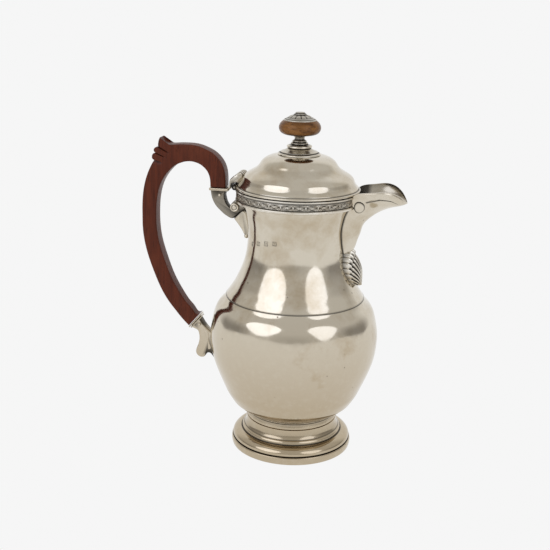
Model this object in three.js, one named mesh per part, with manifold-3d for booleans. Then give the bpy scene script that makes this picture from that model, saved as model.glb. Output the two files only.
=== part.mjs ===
// Silver coffee pot with a wooden scroll handle, a beak spout and a hinged domed lid.
// Millimetres, +Z up, the pot stands on z = 0, the handle points to -X and the spout to +X.
import * as THREE from "three";
import { mergeVertices } from "three/addons/utils/BufferGeometryUtils.js";
import Module from "manifold-3d";

const wasm = await Module();
wasm.setup();

// ---------------------------------------------------------------- driving dimensions

// body of revolution
const bowlRadius = 56.9;
const bowlHeight = 80.3;
const footHeight = 27;
const neckHeight = 63.9;
const footRadius = 0.728 * bowlRadius;
const bowlBaseRadius = 0.536 * bowlRadius;
const shoulderRadius = 0.812 * bowlRadius;
const neckWaist = 0.571 * bowlRadius;
const neckTopRadius = 0.673 * bowlRadius;
const sheet = 1.2;

// rim band and lid
const bandHeight = 8.3;
const bandRadius = neckTopRadius + 3;
const seamGap = 0.5;
const lidHeight = 22.9;
const bezelDrop = 5;
const mouthClearance = 0.5;

// finial
const stemHeight = 13.2;
const knobHeight = 8.8;
const knobRadius = 13.4;
const capHeight = 5.2;
const rodRadius = 1.5;
const nutRadius = 4.2;
const nutHeight = 2.6;

// handle
const handleReach = bowlRadius + 49;
const handleThickness = 10;
const handleWidth = 11;
const scrollRadius = 3.5;
const tenon = 6;
const tenonLength = 7.6;
const pinRadius = 0.9;
const socketRing = 13.4;
const ringThickness = 2.1;
const upperSocketX = bandRadius + 10.7;
const lowerSocketX = bowlRadius + 12.4;
const lowerSocketAngle = -40.5;

// spout
const spoutReach = bandRadius + 30.7;
const spoutDrop = 0.69 * neckHeight;
const spoutHalfWidth = 16.8;
const spoutWall = 1.2;
const borderDrop = 3.6;
const borderRadius = 0.9;
const shellHeight = 0.4225 * neckHeight;
const shellHalfWidth = 12;
const shellRelief = 9.4;
const shellRibs = 7;

// hinge
const hingeX = bandRadius - 0.1;
const barrelRadius = 1.9;
const barrelLength = 16;
const lidBarrelLength = 5.6;
const hingePinRadius = 0.8;

// fits
const cutGap = 0.3;
const pinGap = 0.12;
const barrelGap = 0.35;

// facets round the body
const round = 32;
const small = 16;

// ---------------------------------------------------------------- derived levels

const shoulderZ = footHeight + bowlHeight;
const bandZ = shoulderZ + neckHeight;
const mouthZ = bandZ + bandHeight;
const lidZ = mouthZ + seamGap;
const stemZ = lidZ + lidHeight;
const knobZ = stemZ + stemHeight;
const capZ = knobZ + knobHeight;
const hingeZ = mouthZ + seamGap / 2;
const potOffset = (handleReach - spoutReach) / 2;

// ---------------------------------------------------------------- materials

const silver = (name, tint = 0xcdc8bd, roughness = 0.2) => {
  const material = new THREE.MeshStandardMaterial({ color: tint, roughness, metalness: 1 });
  material.name = name;
  return material;
};
const wood = (name, tint, roughness) => {
  const material = new THREE.MeshStandardMaterial({ color: tint, roughness, metalness: 0 });
  material.name = name;
  return material;
};

// ---------------------------------------------------------------- solids

// closed geometry to solid, turned the right way out
function solid(geometry) {
  const bare = geometry.clone();
  for (const name of Object.keys(bare.attributes)) {
    if (name !== "position") bare.deleteAttribute(name);
  }
  const merged = mergeVertices(bare, 1e-4);
  const vertProperties = Float32Array.from(merged.attributes.position.array);
  const triVerts = [];
  const index = merged.index.array;
  for (let i = 0; i < index.length; i += 3) {
    const [a, b, c] = [index[i], index[i + 1], index[i + 2]];
    if (a !== b && b !== c && c !== a) triVerts.push(a, b, c);
  }
  const faces = Uint32Array.from(triVerts);
  if (signedVolume(vertProperties, faces) < 0) {
    for (let i = 0; i < faces.length; i += 3) {
      [faces[i], faces[i + 1]] = [faces[i + 1], faces[i]];
    }
  }
  return new wasm.Manifold(new wasm.Mesh({ numProp: 3, vertProperties, triVerts: faces }));
}

function signedVolume(p, faces) {
  const a = new THREE.Vector3();
  const b = new THREE.Vector3();
  const c = new THREE.Vector3();
  let sum = 0;
  for (let i = 0; i < faces.length; i += 3) {
    a.fromArray(p, 3 * faces[i]);
    b.fromArray(p, 3 * faces[i + 1]);
    c.fromArray(p, 3 * faces[i + 2]);
    sum += a.dot(b.cross(c)) / 6;
  }
  return sum;
}

// solid back to a geometry for a mesh
function geometryOf(body) {
  const mesh = body.getMesh();
  const geometry = new THREE.BufferGeometry();
  const count = mesh.vertProperties.length / mesh.numProp;
  const position = new Float32Array(3 * count);
  for (let i = 0; i < count; i += 1) {
    for (let k = 0; k < 3; k += 1) {
      position[3 * i + k] = mesh.vertProperties[i * mesh.numProp + k];
    }
  }
  geometry.setAttribute("position", new THREE.BufferAttribute(position, 3));
  geometry.setIndex(new THREE.BufferAttribute(Uint32Array.from(mesh.triVerts), 1));
  return geometry;
}

// turned body: [radius, height] points, on the axis at both ends or closed on itself
function turned(points, segments = round, closed = false) {
  const profile = points.map(([r, z]) => new THREE.Vector2(r, z));
  if (closed) profile.push(profile[0].clone());
  const geometry = new THREE.LatheGeometry(profile, segments);
  geometry.rotateX(Math.PI / 2);
  return solid(geometry);
}

// board cut to an outline in the XZ plane, its width centred on y = 0
function board(outline, width, bevel = 0, curveSegments = 6) {
  const shape = outline instanceof THREE.Shape ? outline : new THREE.Shape(outline);
  const geometry = new THREE.ExtrudeGeometry(shape, {
    depth: width - 2 * bevel,
    bevelEnabled: bevel > 0,
    bevelThickness: bevel,
    bevelSize: bevel,
    bevelOffset: -bevel,
    bevelSegments: 1,
    curveSegments,
    steps: 1,
  });
  geometry.translate(0, 0, bevel - width / 2);
  geometry.rotateX(Math.PI / 2);
  return solid(geometry);
}

const v2 = (x, z) => new THREE.Vector2(x, z);

// round bar lying across the pot, its axis along Y
function disc(x, z, radius, width, segments = small) {
  const geometry = new THREE.CylinderGeometry(radius, radius, width, segments);
  geometry.translate(x, 0, z);
  return solid(geometry);
}

function box(x0, x1, y0, y1, z0, z1) {
  const geometry = new THREE.BoxGeometry(x1 - x0, y1 - y0, z1 - z0);
  geometry.translate((x0 + x1) / 2, (y0 + y1) / 2, (z0 + z1) / 2);
  return solid(geometry);
}

// smooth curve of [radius, height] points, resampled
function smooth(points, count) {
  const curve = new THREE.SplineCurve(points.map(([r, z]) => v2(r, z)));
  return curve.getPoints(count).map((p) => [p.x, p.y]);
}

// profile moved sideways along its own normal
function offsetProfile(points, distance) {
  return points.map((point, i) => {
    const before = points[Math.max(i - 1, 0)];
    const after = points[Math.min(i + 1, points.length - 1)];
    const dr = after[0] - before[0];
    const dz = after[1] - before[1];
    const length = Math.hypot(dr, dz);
    return [point[0] + (distance * dz) / length, point[1] - (distance * dr) / length];
  });
}

// loft through closed sections with equal point counts, capped by a fan or by a strip
function loft(sections, strip = false) {
  const n = sections[0].length;
  const positions = [];
  const index = [];
  for (const section of sections) {
    for (const p of section) positions.push(p.x, p.y, p.z);
  }
  for (let i = 0; i + 1 < sections.length; i += 1) {
    for (let j = 0; j < n; j += 1) {
      const a = i * n + j;
      const b = i * n + ((j + 1) % n);
      index.push(a, b, a + n, b, b + n, a + n);
    }
  }
  const cap = (start, flip) => {
    const faces = [];
    if (strip) {
      for (let j = 0; j < n / 2 - 1; j += 1) {
        faces.push([j, n - 1 - j, j + 1], [j + 1, n - 1 - j, n - 2 - j]);
      }
    } else {
      for (let j = 1; j + 1 < n; j += 1) faces.push([0, j + 1, j]);
    }
    for (const [a, b, c] of faces) {
      if (flip) index.push(start + a, start + c, start + b);
      else index.push(start + a, start + b, start + c);
    }
  };
  cap(0, false);
  cap((sections.length - 1) * n, true);
  const geometry = new THREE.BufferGeometry();
  geometry.setAttribute("position", new THREE.Float32BufferAttribute(positions, 3));
  geometry.setIndex(index);
  return solid(geometry);
}

const pot = new THREE.Group();
const lidGroup = new THREE.Group();
pot.add(lidGroup);
pot.position.x = potOffset;

function place(group, name, body, material) {
  const mesh = new THREE.Mesh(geometryOf(body), material);
  mesh.name = name;
  group.add(mesh);
}

// ---------------------------------------------------------------- foot

const wireHeight = 5.2;
const skirtHeight = 20.6;
const footWire = turned(
  [
    [footRadius - 3.4, 0],
    [footRadius - 0.4, 0],
    [footRadius, 0.8],
    [footRadius, wireHeight - 0.9],
    [footRadius - 0.6, wireHeight],
    [footRadius - 3.4, wireHeight],
  ],
  round,
  true,
);

const skirtOuter = [
  [footRadius - 1.4, wireHeight],
  [footRadius - 0.9, wireHeight + 1.6],
  [footRadius - 1.7, wireHeight + 3.6],
  [footRadius - 3.6, wireHeight + 5.3],
  [footRadius - 6.2, wireHeight + 6.2],
  [footRadius - 7.6, wireHeight + 6.4],
  [footRadius - 8.8, wireHeight + 8.8],
  [footRadius - 9.8, wireHeight + 11.8],
  [footRadius - 10.4, skirtHeight],
];
const skirtInner = [
  [footRadius - 12, skirtHeight],
  [footRadius - 11, wireHeight + 10],
  [footRadius - 8.8, wireHeight + 5],
  [footRadius - 4.6, wireHeight + 3.7],
  [footRadius - 3, wireHeight],
];
const footSkirt = turned([...skirtOuter, ...skirtInner], round, true);

const collarRadius = bowlBaseRadius + 0.6;
const collarStep = (footHeight - skirtHeight) / 2;
const footCollar = turned(
  [
    [collarRadius - 1, skirtHeight],
    [collarRadius, skirtHeight + 0.3 * collarStep],
    [collarRadius, skirtHeight + 0.7 * collarStep],
    [collarRadius - 0.8, skirtHeight + collarStep],
    [collarRadius - 0.3, skirtHeight + 1.3 * collarStep],
    [collarRadius - 0.3, skirtHeight + 1.7 * collarStep],
    [collarRadius - 1, footHeight],
    [collarRadius - 4, footHeight],
    [collarRadius - 3, skirtHeight],
  ],
  round,
  true,
);

// ---------------------------------------------------------------- bowl and neck

// bowl side as [share of the way from base to belly radius, share of the bowl height]
const bowlSide = [
  [0, 0],
  [0.17, 0.022],
  [0.285, 0.045],
  [0.415, 0.078],
  [0.555, 0.15],
  [0.68, 0.235],
  [0.8, 0.335],
  [0.91, 0.445],
  [0.975, 0.555],
  [1, 0.66],
  [0.972, 0.75],
  [0.905, 0.85],
  [0.84, 0.905],
  [0.745, 0.95],
];
const bowlOutline = smooth(
  [
    ...bowlSide.map(([a, b]) => [
      bowlBaseRadius + a * (bowlRadius - bowlBaseRadius),
      footHeight + b * bowlHeight,
    ]),
    [shoulderRadius, shoulderZ],
  ],
  14,
);
const everySecond = (points) => points.filter((_, i) => i % 2 === 0 || i === points.length - 1);
const bowlInside = everySecond(offsetProfile(bowlOutline.slice(1), -sheet - 0.2));
bowlInside[bowlInside.length - 1] = [shoulderRadius - sheet, shoulderZ];
const bowl = turned([
  [0, footHeight],
  ...bowlOutline,
  ...bowlInside.reverse(),
  [bowlBaseRadius - 4, footHeight + sheet],
  [0, footHeight + sheet],
]);

// neck side as [share of the way from waist to shoulder radius, share of the neck height]
const neckLower = [
  [0.97, 0.03],
  [0.86, 0.065],
  [0.64, 0.13],
  [0.47, 0.2],
  [0.33, 0.27],
  [0.21, 0.34],
  [0.11, 0.42],
  [0.035, 0.51],
  [0, 0.6],
];
const neckUpper = [
  [0.02, 0.69],
  [0.13, 0.78],
  [0.3, 0.855],
  [0.56, 0.93],
  [0.86, 0.985],
];
const neckOutline = [
  [shoulderRadius + 0.3, shoulderZ],
  ...smooth(
    [
      [shoulderRadius, shoulderZ + 0.4],
      ...neckLower.map(([a, b]) => [
        neckWaist + a * (shoulderRadius - neckWaist),
        shoulderZ + b * neckHeight,
      ]),
      ...neckUpper.map(([a, b]) => [
        neckWaist + a * (neckTopRadius - neckWaist),
        shoulderZ + b * neckHeight,
      ]),
      [neckTopRadius, bandZ],
    ],
    12,
  ),
  [neckTopRadius, mouthZ],
];
const neckInside = [
  [shoulderRadius - sheet, shoulderZ],
  ...everySecond(offsetProfile(neckOutline, -sheet).slice(3, -3)),
  [neckTopRadius - sheet, bandZ],
  [neckTopRadius - sheet, mouthZ],
];
const neckFull = turned([...neckOutline, ...neckInside.reverse()], round, true);

// filled outside of bowl and neck, grown by a clearance, for cutting what is fixed to them
function bodyFilled(grow) {
  return turned([
    [0, footHeight],
    ...offsetProfile([...bowlOutline, ...neckOutline], grow),
    [0, mouthZ],
  ]);
}
const bodyGap = bodyFilled(cutGap);

function neckRadiusAt(z) {
  for (let i = 1; i < neckOutline.length; i += 1) {
    const [r0, z0] = neckOutline[i - 1];
    const [r1, z1] = neckOutline[i];
    if (z >= z0 && z <= z1) return r0 + ((r1 - r0) * (z - z0)) / Math.max(z1 - z0, 1e-6);
  }
  return neckTopRadius;
}

// ---------------------------------------------------------------- spout

// each section: keel distance from the neck axis, keel height below the mouth,
// rim half-width, rim height from the mouth, and rim distance from the axis
// (null where the side runs into the neck)
const reach = (share) => bandRadius + share * (spoutReach - bandRadius);
const spoutSections = [
  { keelX: neckWaist + 0.4, keelZ: -spoutDrop, half: 0.2, rimZ: -1.014 * spoutDrop },
  { keelX: neckWaist + 4, keelZ: -0.925 * spoutDrop, half: 0.4, rimZ: -0.94 * spoutDrop },
  { keelX: neckWaist + 6, keelZ: -0.84 * spoutDrop, half: 0.5, rimZ: -0.85 * spoutDrop },
  { keelX: neckWaist + 7.4, keelZ: -0.708 * spoutDrop, half: 0.62, rimZ: -0.692 * spoutDrop },
  { keelX: neckWaist + 9.1, keelZ: -0.581 * spoutDrop, half: 0.74, rimZ: -0.522 * spoutDrop },
  { keelX: reach(0.09), keelZ: -0.456 * spoutDrop, half: 0.81, rimZ: -0.347 * spoutDrop },
  { keelX: reach(0.22), keelZ: -0.345 * spoutDrop, half: 0.86, rimZ: -0.177 * spoutDrop },
  { keelX: reach(0.365), keelZ: -0.263 * spoutDrop, half: 0.905, rimZ: 1.2, rimX: bandRadius - 2.4 },
  { keelX: reach(0.51), keelZ: -0.204 * spoutDrop, half: 0.99, rimZ: 3.6, rimX: reach(0.24) },
  { keelX: reach(0.66), keelZ: -0.161 * spoutDrop, half: 1, rimZ: 4.6, rimX: reach(0.5) },
  { keelX: reach(0.805), keelZ: -0.138 * spoutDrop, half: 0.83, rimZ: 3.6, rimX: reach(0.71) },
  { keelX: reach(0.92), keelZ: -0.12 * spoutDrop, half: 0.53, rimZ: 0.2, rimX: reach(0.88) },
  { keelX: spoutReach, keelZ: -0.102 * spoutDrop, half: 0.15, rimZ: -3.9, rimX: spoutReach - 0.4 },
];

function spoutFrame(section, inset) {
  const half = section.half * spoutHalfWidth;
  const z = mouthZ + section.rimZ;
  const inNeck = neckRadiusAt(Math.min(z, mouthZ)) - 1.6;
  const x = section.rimX ?? Math.sqrt(inNeck * inNeck - half * half);
  const rim = new THREE.Vector3(x, 0, z);
  const keel = new THREE.Vector3(section.keelX, 0, mouthZ + section.keelZ);
  const depth = keel.clone().sub(rim);
  const length = depth.length();
  depth.multiplyScalar(Math.max(length - inset, 0.3) / length);
  return { rim, depth, half: Math.max(half - inset, 0.3) };
}

function spoutPoint(section, angle, inset) {
  const { rim, depth, half } = spoutFrame(section, inset);
  const point = rim.clone().addScaledVector(depth, Math.cos(angle));
  point.y = half * Math.sin(angle);
  return point;
}

const arcSteps = 12;
function spoutArc(section, inset) {
  const points = [];
  for (let k = 0; k <= arcSteps; k += 1) {
    points.push(spoutPoint(section, (k / arcSteps - 0.5) * Math.PI, inset));
  }
  return points;
}

// sections in between, each value mixed from its two neighbours
function blend(count) {
  const result = [];
  for (let i = 0; i <= count; i += 1) {
    const at = (i / count) * (spoutSections.length - 1);
    const k = Math.min(Math.floor(at), spoutSections.length - 2);
    const t = at - k;
    const mix = (a, b) => a + (b - a) * t;
    const [a, b] = [spoutSections[k], spoutSections[k + 1]];
    const frameA = spoutFrame(a, 0);
    const frameB = spoutFrame(b, 0);
    result.push({
      keelX: mix(a.keelX, b.keelX),
      keelZ: mix(a.keelZ, b.keelZ),
      half: mix(a.half, b.half),
      rimZ: mix(a.rimZ, b.rimZ),
      rimX: mix(frameA.rim.x, frameB.rim.x),
    });
  }
  return result;
}
const spoutFine = blend(spoutSections.length - 1);

const lidClear = turned([
  [0, mouthZ + seamGap / 2],
  [bandRadius + 0.5, mouthZ + seamGap / 2],
  [bandRadius + 0.5, mouthZ + 40],
  [0, mouthZ + 40],
]);
const neckFilled = turned([
  [0, shoulderZ - 10],
  [shoulderRadius, shoulderZ - 10],
  ...offsetProfile(neckOutline, cutGap),
  [neckTopRadius + cutGap, mouthZ + 10],
  [0, mouthZ + 10],
]);

const spoutShellLoft = loft(
  spoutFine.map((s) => [...spoutArc(s, 0), ...spoutArc(s, spoutWall).reverse()]),
  true,
);
const spout = spoutShellLoft.subtract(neckFilled).subtract(lidClear);

// everything inside the spout's outer surface, grown by a clearance
function spoutFilled(grow) {
  return loft(spoutFine.map((s) => spoutArc(s, -grow)));
}
const spoutGap = spoutFilled(cutGap);

// the way from the neck into the spout
const channelSections = spoutFine.slice(3, 8).map((s) => {
  const arc = spoutArc(s, spoutWall + 0.4);
  const first = arc[0].clone();
  const last = arc[arc.length - 1].clone();
  first.x -= 14;
  last.x -= 14;
  return [first, ...arc, last];
});
channelSections.push(channelSections[channelSections.length - 1].map((p) => {
  const raised = p.clone();
  raised.z = mouthZ + 12;
  return raised;
}));
const channel = loft(channelSections);
const neck = neckFull.subtract(channel);

// ---------------------------------------------------------------- rim band and hinge

const bandInner = neckTopRadius;
const bandProfile = [
  [bandInner, bandZ],
  [bandRadius - 0.3, bandZ],
  [bandRadius, bandZ + 0.5],
  [bandRadius, bandZ + 1.9],
  [bandRadius - 0.8, bandZ + 2.4],
  [bandRadius - 0.5, bandZ + 3.4],
  [bandRadius - 0.5, bandZ + 5.9],
  [bandRadius - 0.8, bandZ + 6.9],
  [bandRadius, bandZ + 7.3],
  [bandRadius, mouthZ],
  [bandInner, mouthZ],
];
const barrelClear = disc(-hingeX, hingeZ, barrelRadius + barrelGap, barrelLength + 2 * barrelGap);
const bandNotch = spoutGap.add(
  box(bandRadius - 5, bandRadius + 6, -11, 11, bandZ - 1, mouthZ + 1),
);
const rimBand = turned(bandProfile, round, true)
  .subtract(bandNotch)
  .subtract(barrelClear);


const bodyBarrelLength = (barrelLength - lidBarrelLength) / 2 - cutGap;
function barrel(centreY, length) {
  const outside = disc(-hingeX, hingeZ, barrelRadius, length);
  const bore = disc(-hingeX, hingeZ, hingePinRadius + pinGap, length + 2);
  return outside.subtract(bore).translate([0, centreY, 0]);
}
const bodyBarrelY = (barrelLength - bodyBarrelLength) / 2;


// ---------------------------------------------------------------- hinge pieces

const knuckles = {
  left: barrel(bodyBarrelY, bodyBarrelLength),
  right: barrel(-bodyBarrelY, bodyBarrelLength),
  middle: barrel(0, lidBarrelLength),
};
const hingePin = disc(-hingeX, hingeZ, hingePinRadius, barrelLength + 0.6);

// ---------------------------------------------------------------- spout borders and shell

// point on the spout's outside, by place along the spout and angle round it
function onSpout(at, angle, lift) {
  const k = Math.min(Math.floor(at), spoutFine.length - 2);
  const a = spoutPoint(spoutFine[k], angle, -lift);
  const b = spoutPoint(spoutFine[k + 1], angle, -lift);
  return a.lerp(b, at - k);
}
function borderAngle(at) {
  const section = spoutFine[Math.min(Math.round(at), spoutFine.length - 1)];
  const { depth } = spoutFrame(section, 0);
  return Math.PI / 2 - Math.min(borderDrop / depth.length(), 1.35);
}
function border(side) {
  const path = [];
  for (const at of [11.2, 10.6, 10, 9.4, 8.8, 8.2]) {
    path.push(onSpout(at, side * borderAngle(at), 0.2));
  }
  const curlAt = 7.35;
  const curlAngle = 0.86;
  for (let k = 0; k <= 7; k += 1) {
    const turn = (0.15 + k * 0.17) * 2 * Math.PI;
    const size = 1 - 0.07 * k;
    path.push(onSpout(
      curlAt + 0.42 * size * Math.cos(turn),
      side * (curlAngle + 0.26 * size * Math.sin(turn)),
      0.2,
    ));
  }
  const section = new THREE.Shape();
  section.absarc(0, 0, borderRadius, 0, 2 * Math.PI);
  const geometry = new THREE.ExtrudeGeometry(section, {
    extrudePath: new THREE.CatmullRomCurve3(path, false, "centripetal"),
    steps: 24,
    curveSegments: 3,
  });
  return solid(geometry).subtract(spoutGap).subtract(neckFilled);
}
const bandGap = turned([
  [0, bandZ - cutGap],
  [bandRadius + cutGap, bandZ - cutGap],
  [bandRadius + cutGap, mouthZ + 1],
  [0, mouthZ + 1],
]);

// scallop shell: ribs fan out from its base knob, hollowed to fit the neck and the spout
const shellBase = shoulderZ + 0.13 * neckHeight;
function shellPoint(along, across, lift) {
  const fan = across * 1.15;
  const scallop = 1 - 0.05 * (1 - Math.abs(Math.cos((across * shellRibs * Math.PI) / 2)));
  const y = shellHalfWidth * along ** 0.8 * Math.sin(fan) * 1.1;
  const z = shellBase + shellHeight * along * (0.32 + 0.68 * Math.cos(fan)) * scallop;
  const rib = 0.86 + 0.14 * Math.abs(Math.cos((across * shellRibs * Math.PI) / 2));
  const swell = Math.sin(Math.PI * (0.08 + 0.72 * along)) * Math.cos(across * 1.25) * rib;
  const r = neckRadiusAt(z);
  return new THREE.Vector3(Math.sqrt(r * r - y * y) + (lift ? shellRelief * swell : -2.2), y, z);
}
function shell() {
  const sections = [];
  const rings = 6;
  const ribsSteps = 28;
  for (let i = 0; i <= rings; i += 1) {
    const along = 0.06 + (0.94 * i) / rings;
    const top = [];
    const under = [];
    for (let k = 0; k <= ribsSteps; k += 1) {
      const across = (2 * k) / ribsSteps - 1;
      top.push(shellPoint(along, across, true));
      under.push(shellPoint(along, across, false));
    }
    sections.push([...top, ...under.reverse()]);
  }
  return loft(sections, true).subtract(neckFilled).subtract(spoutGap);
}

// ---------------------------------------------------------------- handle

const upperEndZ = mouthZ - 0.9;
const lowerEndZ = footHeight + 0.715 * bowlHeight;
const angle = THREE.MathUtils.degToRad(lowerSocketAngle);
const along = v2(Math.cos(angle), Math.sin(angle));
const across = v2(-along.y, along.x);
const lowerEnd = v2(-lowerSocketX, lowerEndZ);
const inLower = (a, b) => lowerEnd.clone().addScaledVector(along, a).addScaledVector(across, b);

// centre line of the grip: [share of the reach, share of the height between the ends]
const gripBack = handleReach - handleThickness / 2;
const gripRun = gripBack - upperSocketX;
const gripRise = upperEndZ - lowerEndZ;
const gripLine = [
  [0.01, 0.06],
  [0.055, 0.125],
  [0.135, 0.18],
  [0.26, 0.214],
  [0.42, 0.224],
  [0.6, 0.208],
  [0.78, 0.157],
  [0.9, 0.07],
  [0.965, -0.03],
  [0.995, -0.13],
  [1, -0.23],
  [0.985, -0.36],
  [0.935, -0.5],
  [0.85, -0.625],
  [0.735, -0.75],
  [0.6, -0.865],
  [0.46, -0.95],
];
const gripCurve = new THREE.SplineCurve([
  v2(-upperSocketX, upperEndZ),
  ...gripLine.map(([a, b]) => v2(-upperSocketX - a * gripRun, upperEndZ + b * gripRise)),
  lowerEnd,
]);
function gripOutline(count) {
  const outer = [];
  const inner = [];
  for (let i = 0; i <= count; i += 1) {
    const t = i / count;
    const p = gripCurve.getPoint(t);
    let d = gripCurve.getTangent(t);
    if (i === 0) d = v2(0, 1);
    if (i === count) d = along.clone();
    const half = handleThickness / 2 + (i === 0 ? 0.9 : 0) + (i === count ? 0.5 : 0);
    outer.push(v2(p.x + d.y * half, p.y - d.x * half));
    inner.push(v2(p.x - d.y * half, p.y + d.x * half));
  }
  return [...outer, ...inner.reverse()];
}
const scrollX = upperSocketX + 0.793 * gripRun;
const scrollZ = upperEndZ + 0.269 * gripRise;
const lobe = (dx, dz, size) => {
  const shape = new THREE.Shape();
  shape.absarc(-scrollX + dx, scrollZ + dz, scrollRadius * size, 0, 2 * Math.PI);
  return board(shape, handleWidth, 1, 5);
};
const upperTenon = box(
  -upperSocketX - tenon / 2,
  -upperSocketX + tenon / 2,
  -tenon / 2,
  tenon / 2,
  upperEndZ - tenonLength,
  upperEndZ + 2,
);
const lowerTenon = board(
  [inLower(-2, -tenon / 2), inLower(tenonLength, -tenon / 2), inLower(tenonLength, tenon / 2),
    inLower(-2, tenon / 2)],
  tenon,
);
const upperPinZ = upperEndZ - 5.2;
const lowerPinAt = inLower(4.8, 0);
const pinLength = handleWidth - 0.2;
const upperPin = disc(-upperSocketX, upperPinZ, pinRadius, pinLength, 14);
const lowerPin = disc(lowerPinAt.x, lowerPinAt.y, pinRadius, pinLength, 14);
const upperPinBore = disc(-upperSocketX, upperPinZ, pinRadius + pinGap, 20, 14);
const lowerPinBore = disc(lowerPinAt.x, lowerPinAt.y, pinRadius + pinGap, 20, 14);
// thickened corner that carries the scroll: [away from the scroll's centre, above it]
const scrollBlock = [
  [18, 1],
  [6, 0.8],
  [0, 1.2],
  [-4, -3],
  [-5.4, -8],
  [-7.2, -12],
  [-9.6, -16.6],
  [-2, -16],
  [10, -7],
].map(([x, z]) => v2(-scrollX + x, scrollZ + z));
const handle = board(gripOutline(26), handleWidth, 1.2)
  .add(board(scrollBlock, handleWidth, 1.2))
  .add(lobe(0, 0, 1))
  .add(lobe(-3.4, -2.7, 0.77))
  .add(lobe(-4.9, -7, 0.77))
  .add(upperTenon)
  .add(lowerTenon)
  .subtract(upperPinBore)
  .subtract(lowerPinBore);

// upper socket: ring and cup round the tenon, arm to the neck, button at the scroll's eye
const ringHalf = socketRing / 2;
const socketWidth = 10;
const armZ = bandZ - 1.2;
const ringTop = upperEndZ - cutGap;
const socketBody = [
  [-upperSocketX + 5.6, ringTop - ringThickness + 0.2],
  [-upperSocketX - 6.2, ringTop - ringThickness + 0.2],
  [-upperSocketX - 5, ringTop - 5.2],
  [-upperSocketX - 4, ringTop - 8.8],
  [-upperSocketX - 2.2, ringTop - 12],
  [-upperSocketX + 0.9, ringTop - 15.2],
  [-upperSocketX + 4.6, ringTop - 18],
  [-upperSocketX + 9.5, ringTop - 20],
  [-neckTopRadius + 3.6, armZ - 5],
  [-neckWaist + 2, armZ - 5],
  [-neckWaist + 2, armZ],
  [-neckTopRadius - 3.6, armZ],
  [-upperSocketX + 7.3, ringTop - 7.6],
].map(([x, z]) => v2(x, z));
const buttonX = neckTopRadius + 3.4;
const buttonZ = bandZ - 5.4;
const upperSocket = box(
  -upperSocketX - ringHalf,
  -upperSocketX + ringHalf,
  -ringHalf,
  ringHalf,
  ringTop - ringThickness,
  ringTop,
)
  .add(board(socketBody, socketWidth, 0.8))
  .add(disc(-buttonX, buttonZ, 2.7, socketWidth + 2.4))
  .subtract(box(
    -upperSocketX - tenon / 2 - cutGap,
    -upperSocketX + tenon / 2 + cutGap,
    -tenon / 2 - cutGap,
    tenon / 2 + cutGap,
    upperEndZ - tenonLength - cutGap,
    upperEndZ + 1,
  ))
  .subtract(upperPinBore)
  .subtract(bodyGap)
  .subtract(bandGap);

// leaf below the socket, lying on the neck, with a bead at its tip
const dropTop = v2(-neckTopRadius + 3.9, armZ - 5 - cutGap);
const dropTip = v2(-neckWaist - 1.9, bandZ - 24.5);
const drop = board(
  [
    v2(-upperSocketX + 9.7, ringTop - 20 - cutGap),
    v2(-neckTopRadius + 0.3, bandZ - 18.6),
    v2(dropTip.x - 0.7, dropTip.y),
    v2(-neckWaist + 2, dropTip.y),
    v2(-neckWaist + 2, dropTop.y),
    dropTop,
  ],
  6.4,
)
  .add(disc(dropTip.x, dropTip.y, 1.5, 5.2, 14))
  .subtract(bodyGap);

// lower socket: ring, cup round the tenon, bracket and curl against the bowl
const padX = bowlRadius - 8;
const lowerSocketBody = [
  inLower(1.8, 5.4),
  inLower(1.8, -5.4),
  inLower(7.4, -4.4),
  v2(-padX - 16.4, lowerEnd.y - 11.4),
  v2(-padX - 17.2, lowerEnd.y - 18),
  v2(-padX - 19, lowerEnd.y - 23),
  v2(-padX - 18, lowerEnd.y - 25.9),
  v2(-padX - 14.8, lowerEnd.y - 27),
  v2(-padX - 12.7, lowerEnd.y - 25.3),
  v2(-padX - 11.5, lowerEnd.y - 21.6),
  v2(-padX - 9.7, lowerEnd.y - 20.4),
  v2(-padX - 6.9, lowerEnd.y - 25.6),
  v2(-padX - 2, lowerEnd.y - 25.6),
  v2(-padX - 2, lowerEnd.y - 4),
  v2(-padX - 9.6, lowerEnd.y - 4),
];
const lowerSocket = board(
  [inLower(cutGap, -ringHalf + 0.4), inLower(ringThickness, -ringHalf + 0.4),
    inLower(ringThickness, ringHalf - 0.4), inLower(cutGap, ringHalf - 0.4)],
  socketRing,
)
  .add(board(lowerSocketBody, socketWidth - 0.8, 0.8))
  .subtract(board(
    [inLower(-1, -tenon / 2 - cutGap), inLower(tenonLength + cutGap, -tenon / 2 - cutGap),
      inLower(tenonLength + cutGap, tenon / 2 + cutGap), inLower(-1, tenon / 2 + cutGap)],
    tenon + 2 * cutGap,
  ))
  .subtract(lowerPinBore)
  .subtract(bodyGap);

// ---------------------------------------------------------------- lid

const lidInnerTop = lidHeight - 1.6;
const lidOuter = [
  [bandRadius - 1.6, 0],
  [bandRadius - 0.2, 0.1],
  [bandRadius - 0.1, 1.1],
  [bandRadius - 1.3, 1.7],
  [bandRadius - 1.5, 2.3],
  [bandRadius - 3.1, 3.8],
  [bandRadius - 4.3, 5.6],
  [bandRadius - 4.9, 8],
  [bandRadius - 7.4, 10],
  [bandRadius - 11.9, 12.6],
  [bandRadius - 14.8, 15.2],
  [bandRadius - 16.8, 18.2],
  [bandRadius - 19.6, 20.6],
  [bandRadius - 24, 22.2],
  [bandRadius - 28, lidHeight],
  [rodRadius + pinGap, lidHeight],
];
const lidInner = [
  [rodRadius + pinGap, lidInnerTop],
  [nutRadius + 1.5, lidInnerTop],
  [bandRadius - 24.5, lidInnerTop - 0.6],
  [bandRadius - 19.4, 18.6],
  [bandRadius - 16, 14.4],
  [bandRadius - 9.4, 9.6],
  [bandRadius - 6.2, 7.6],
  [bandRadius - 5.6, 4.6],
  [bandRadius - 4.6, 1.6],
  [bandRadius - 4.6, 0],
];
const raise = (points, z) => points.map(([r, h]) => [r, h + z]);
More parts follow.
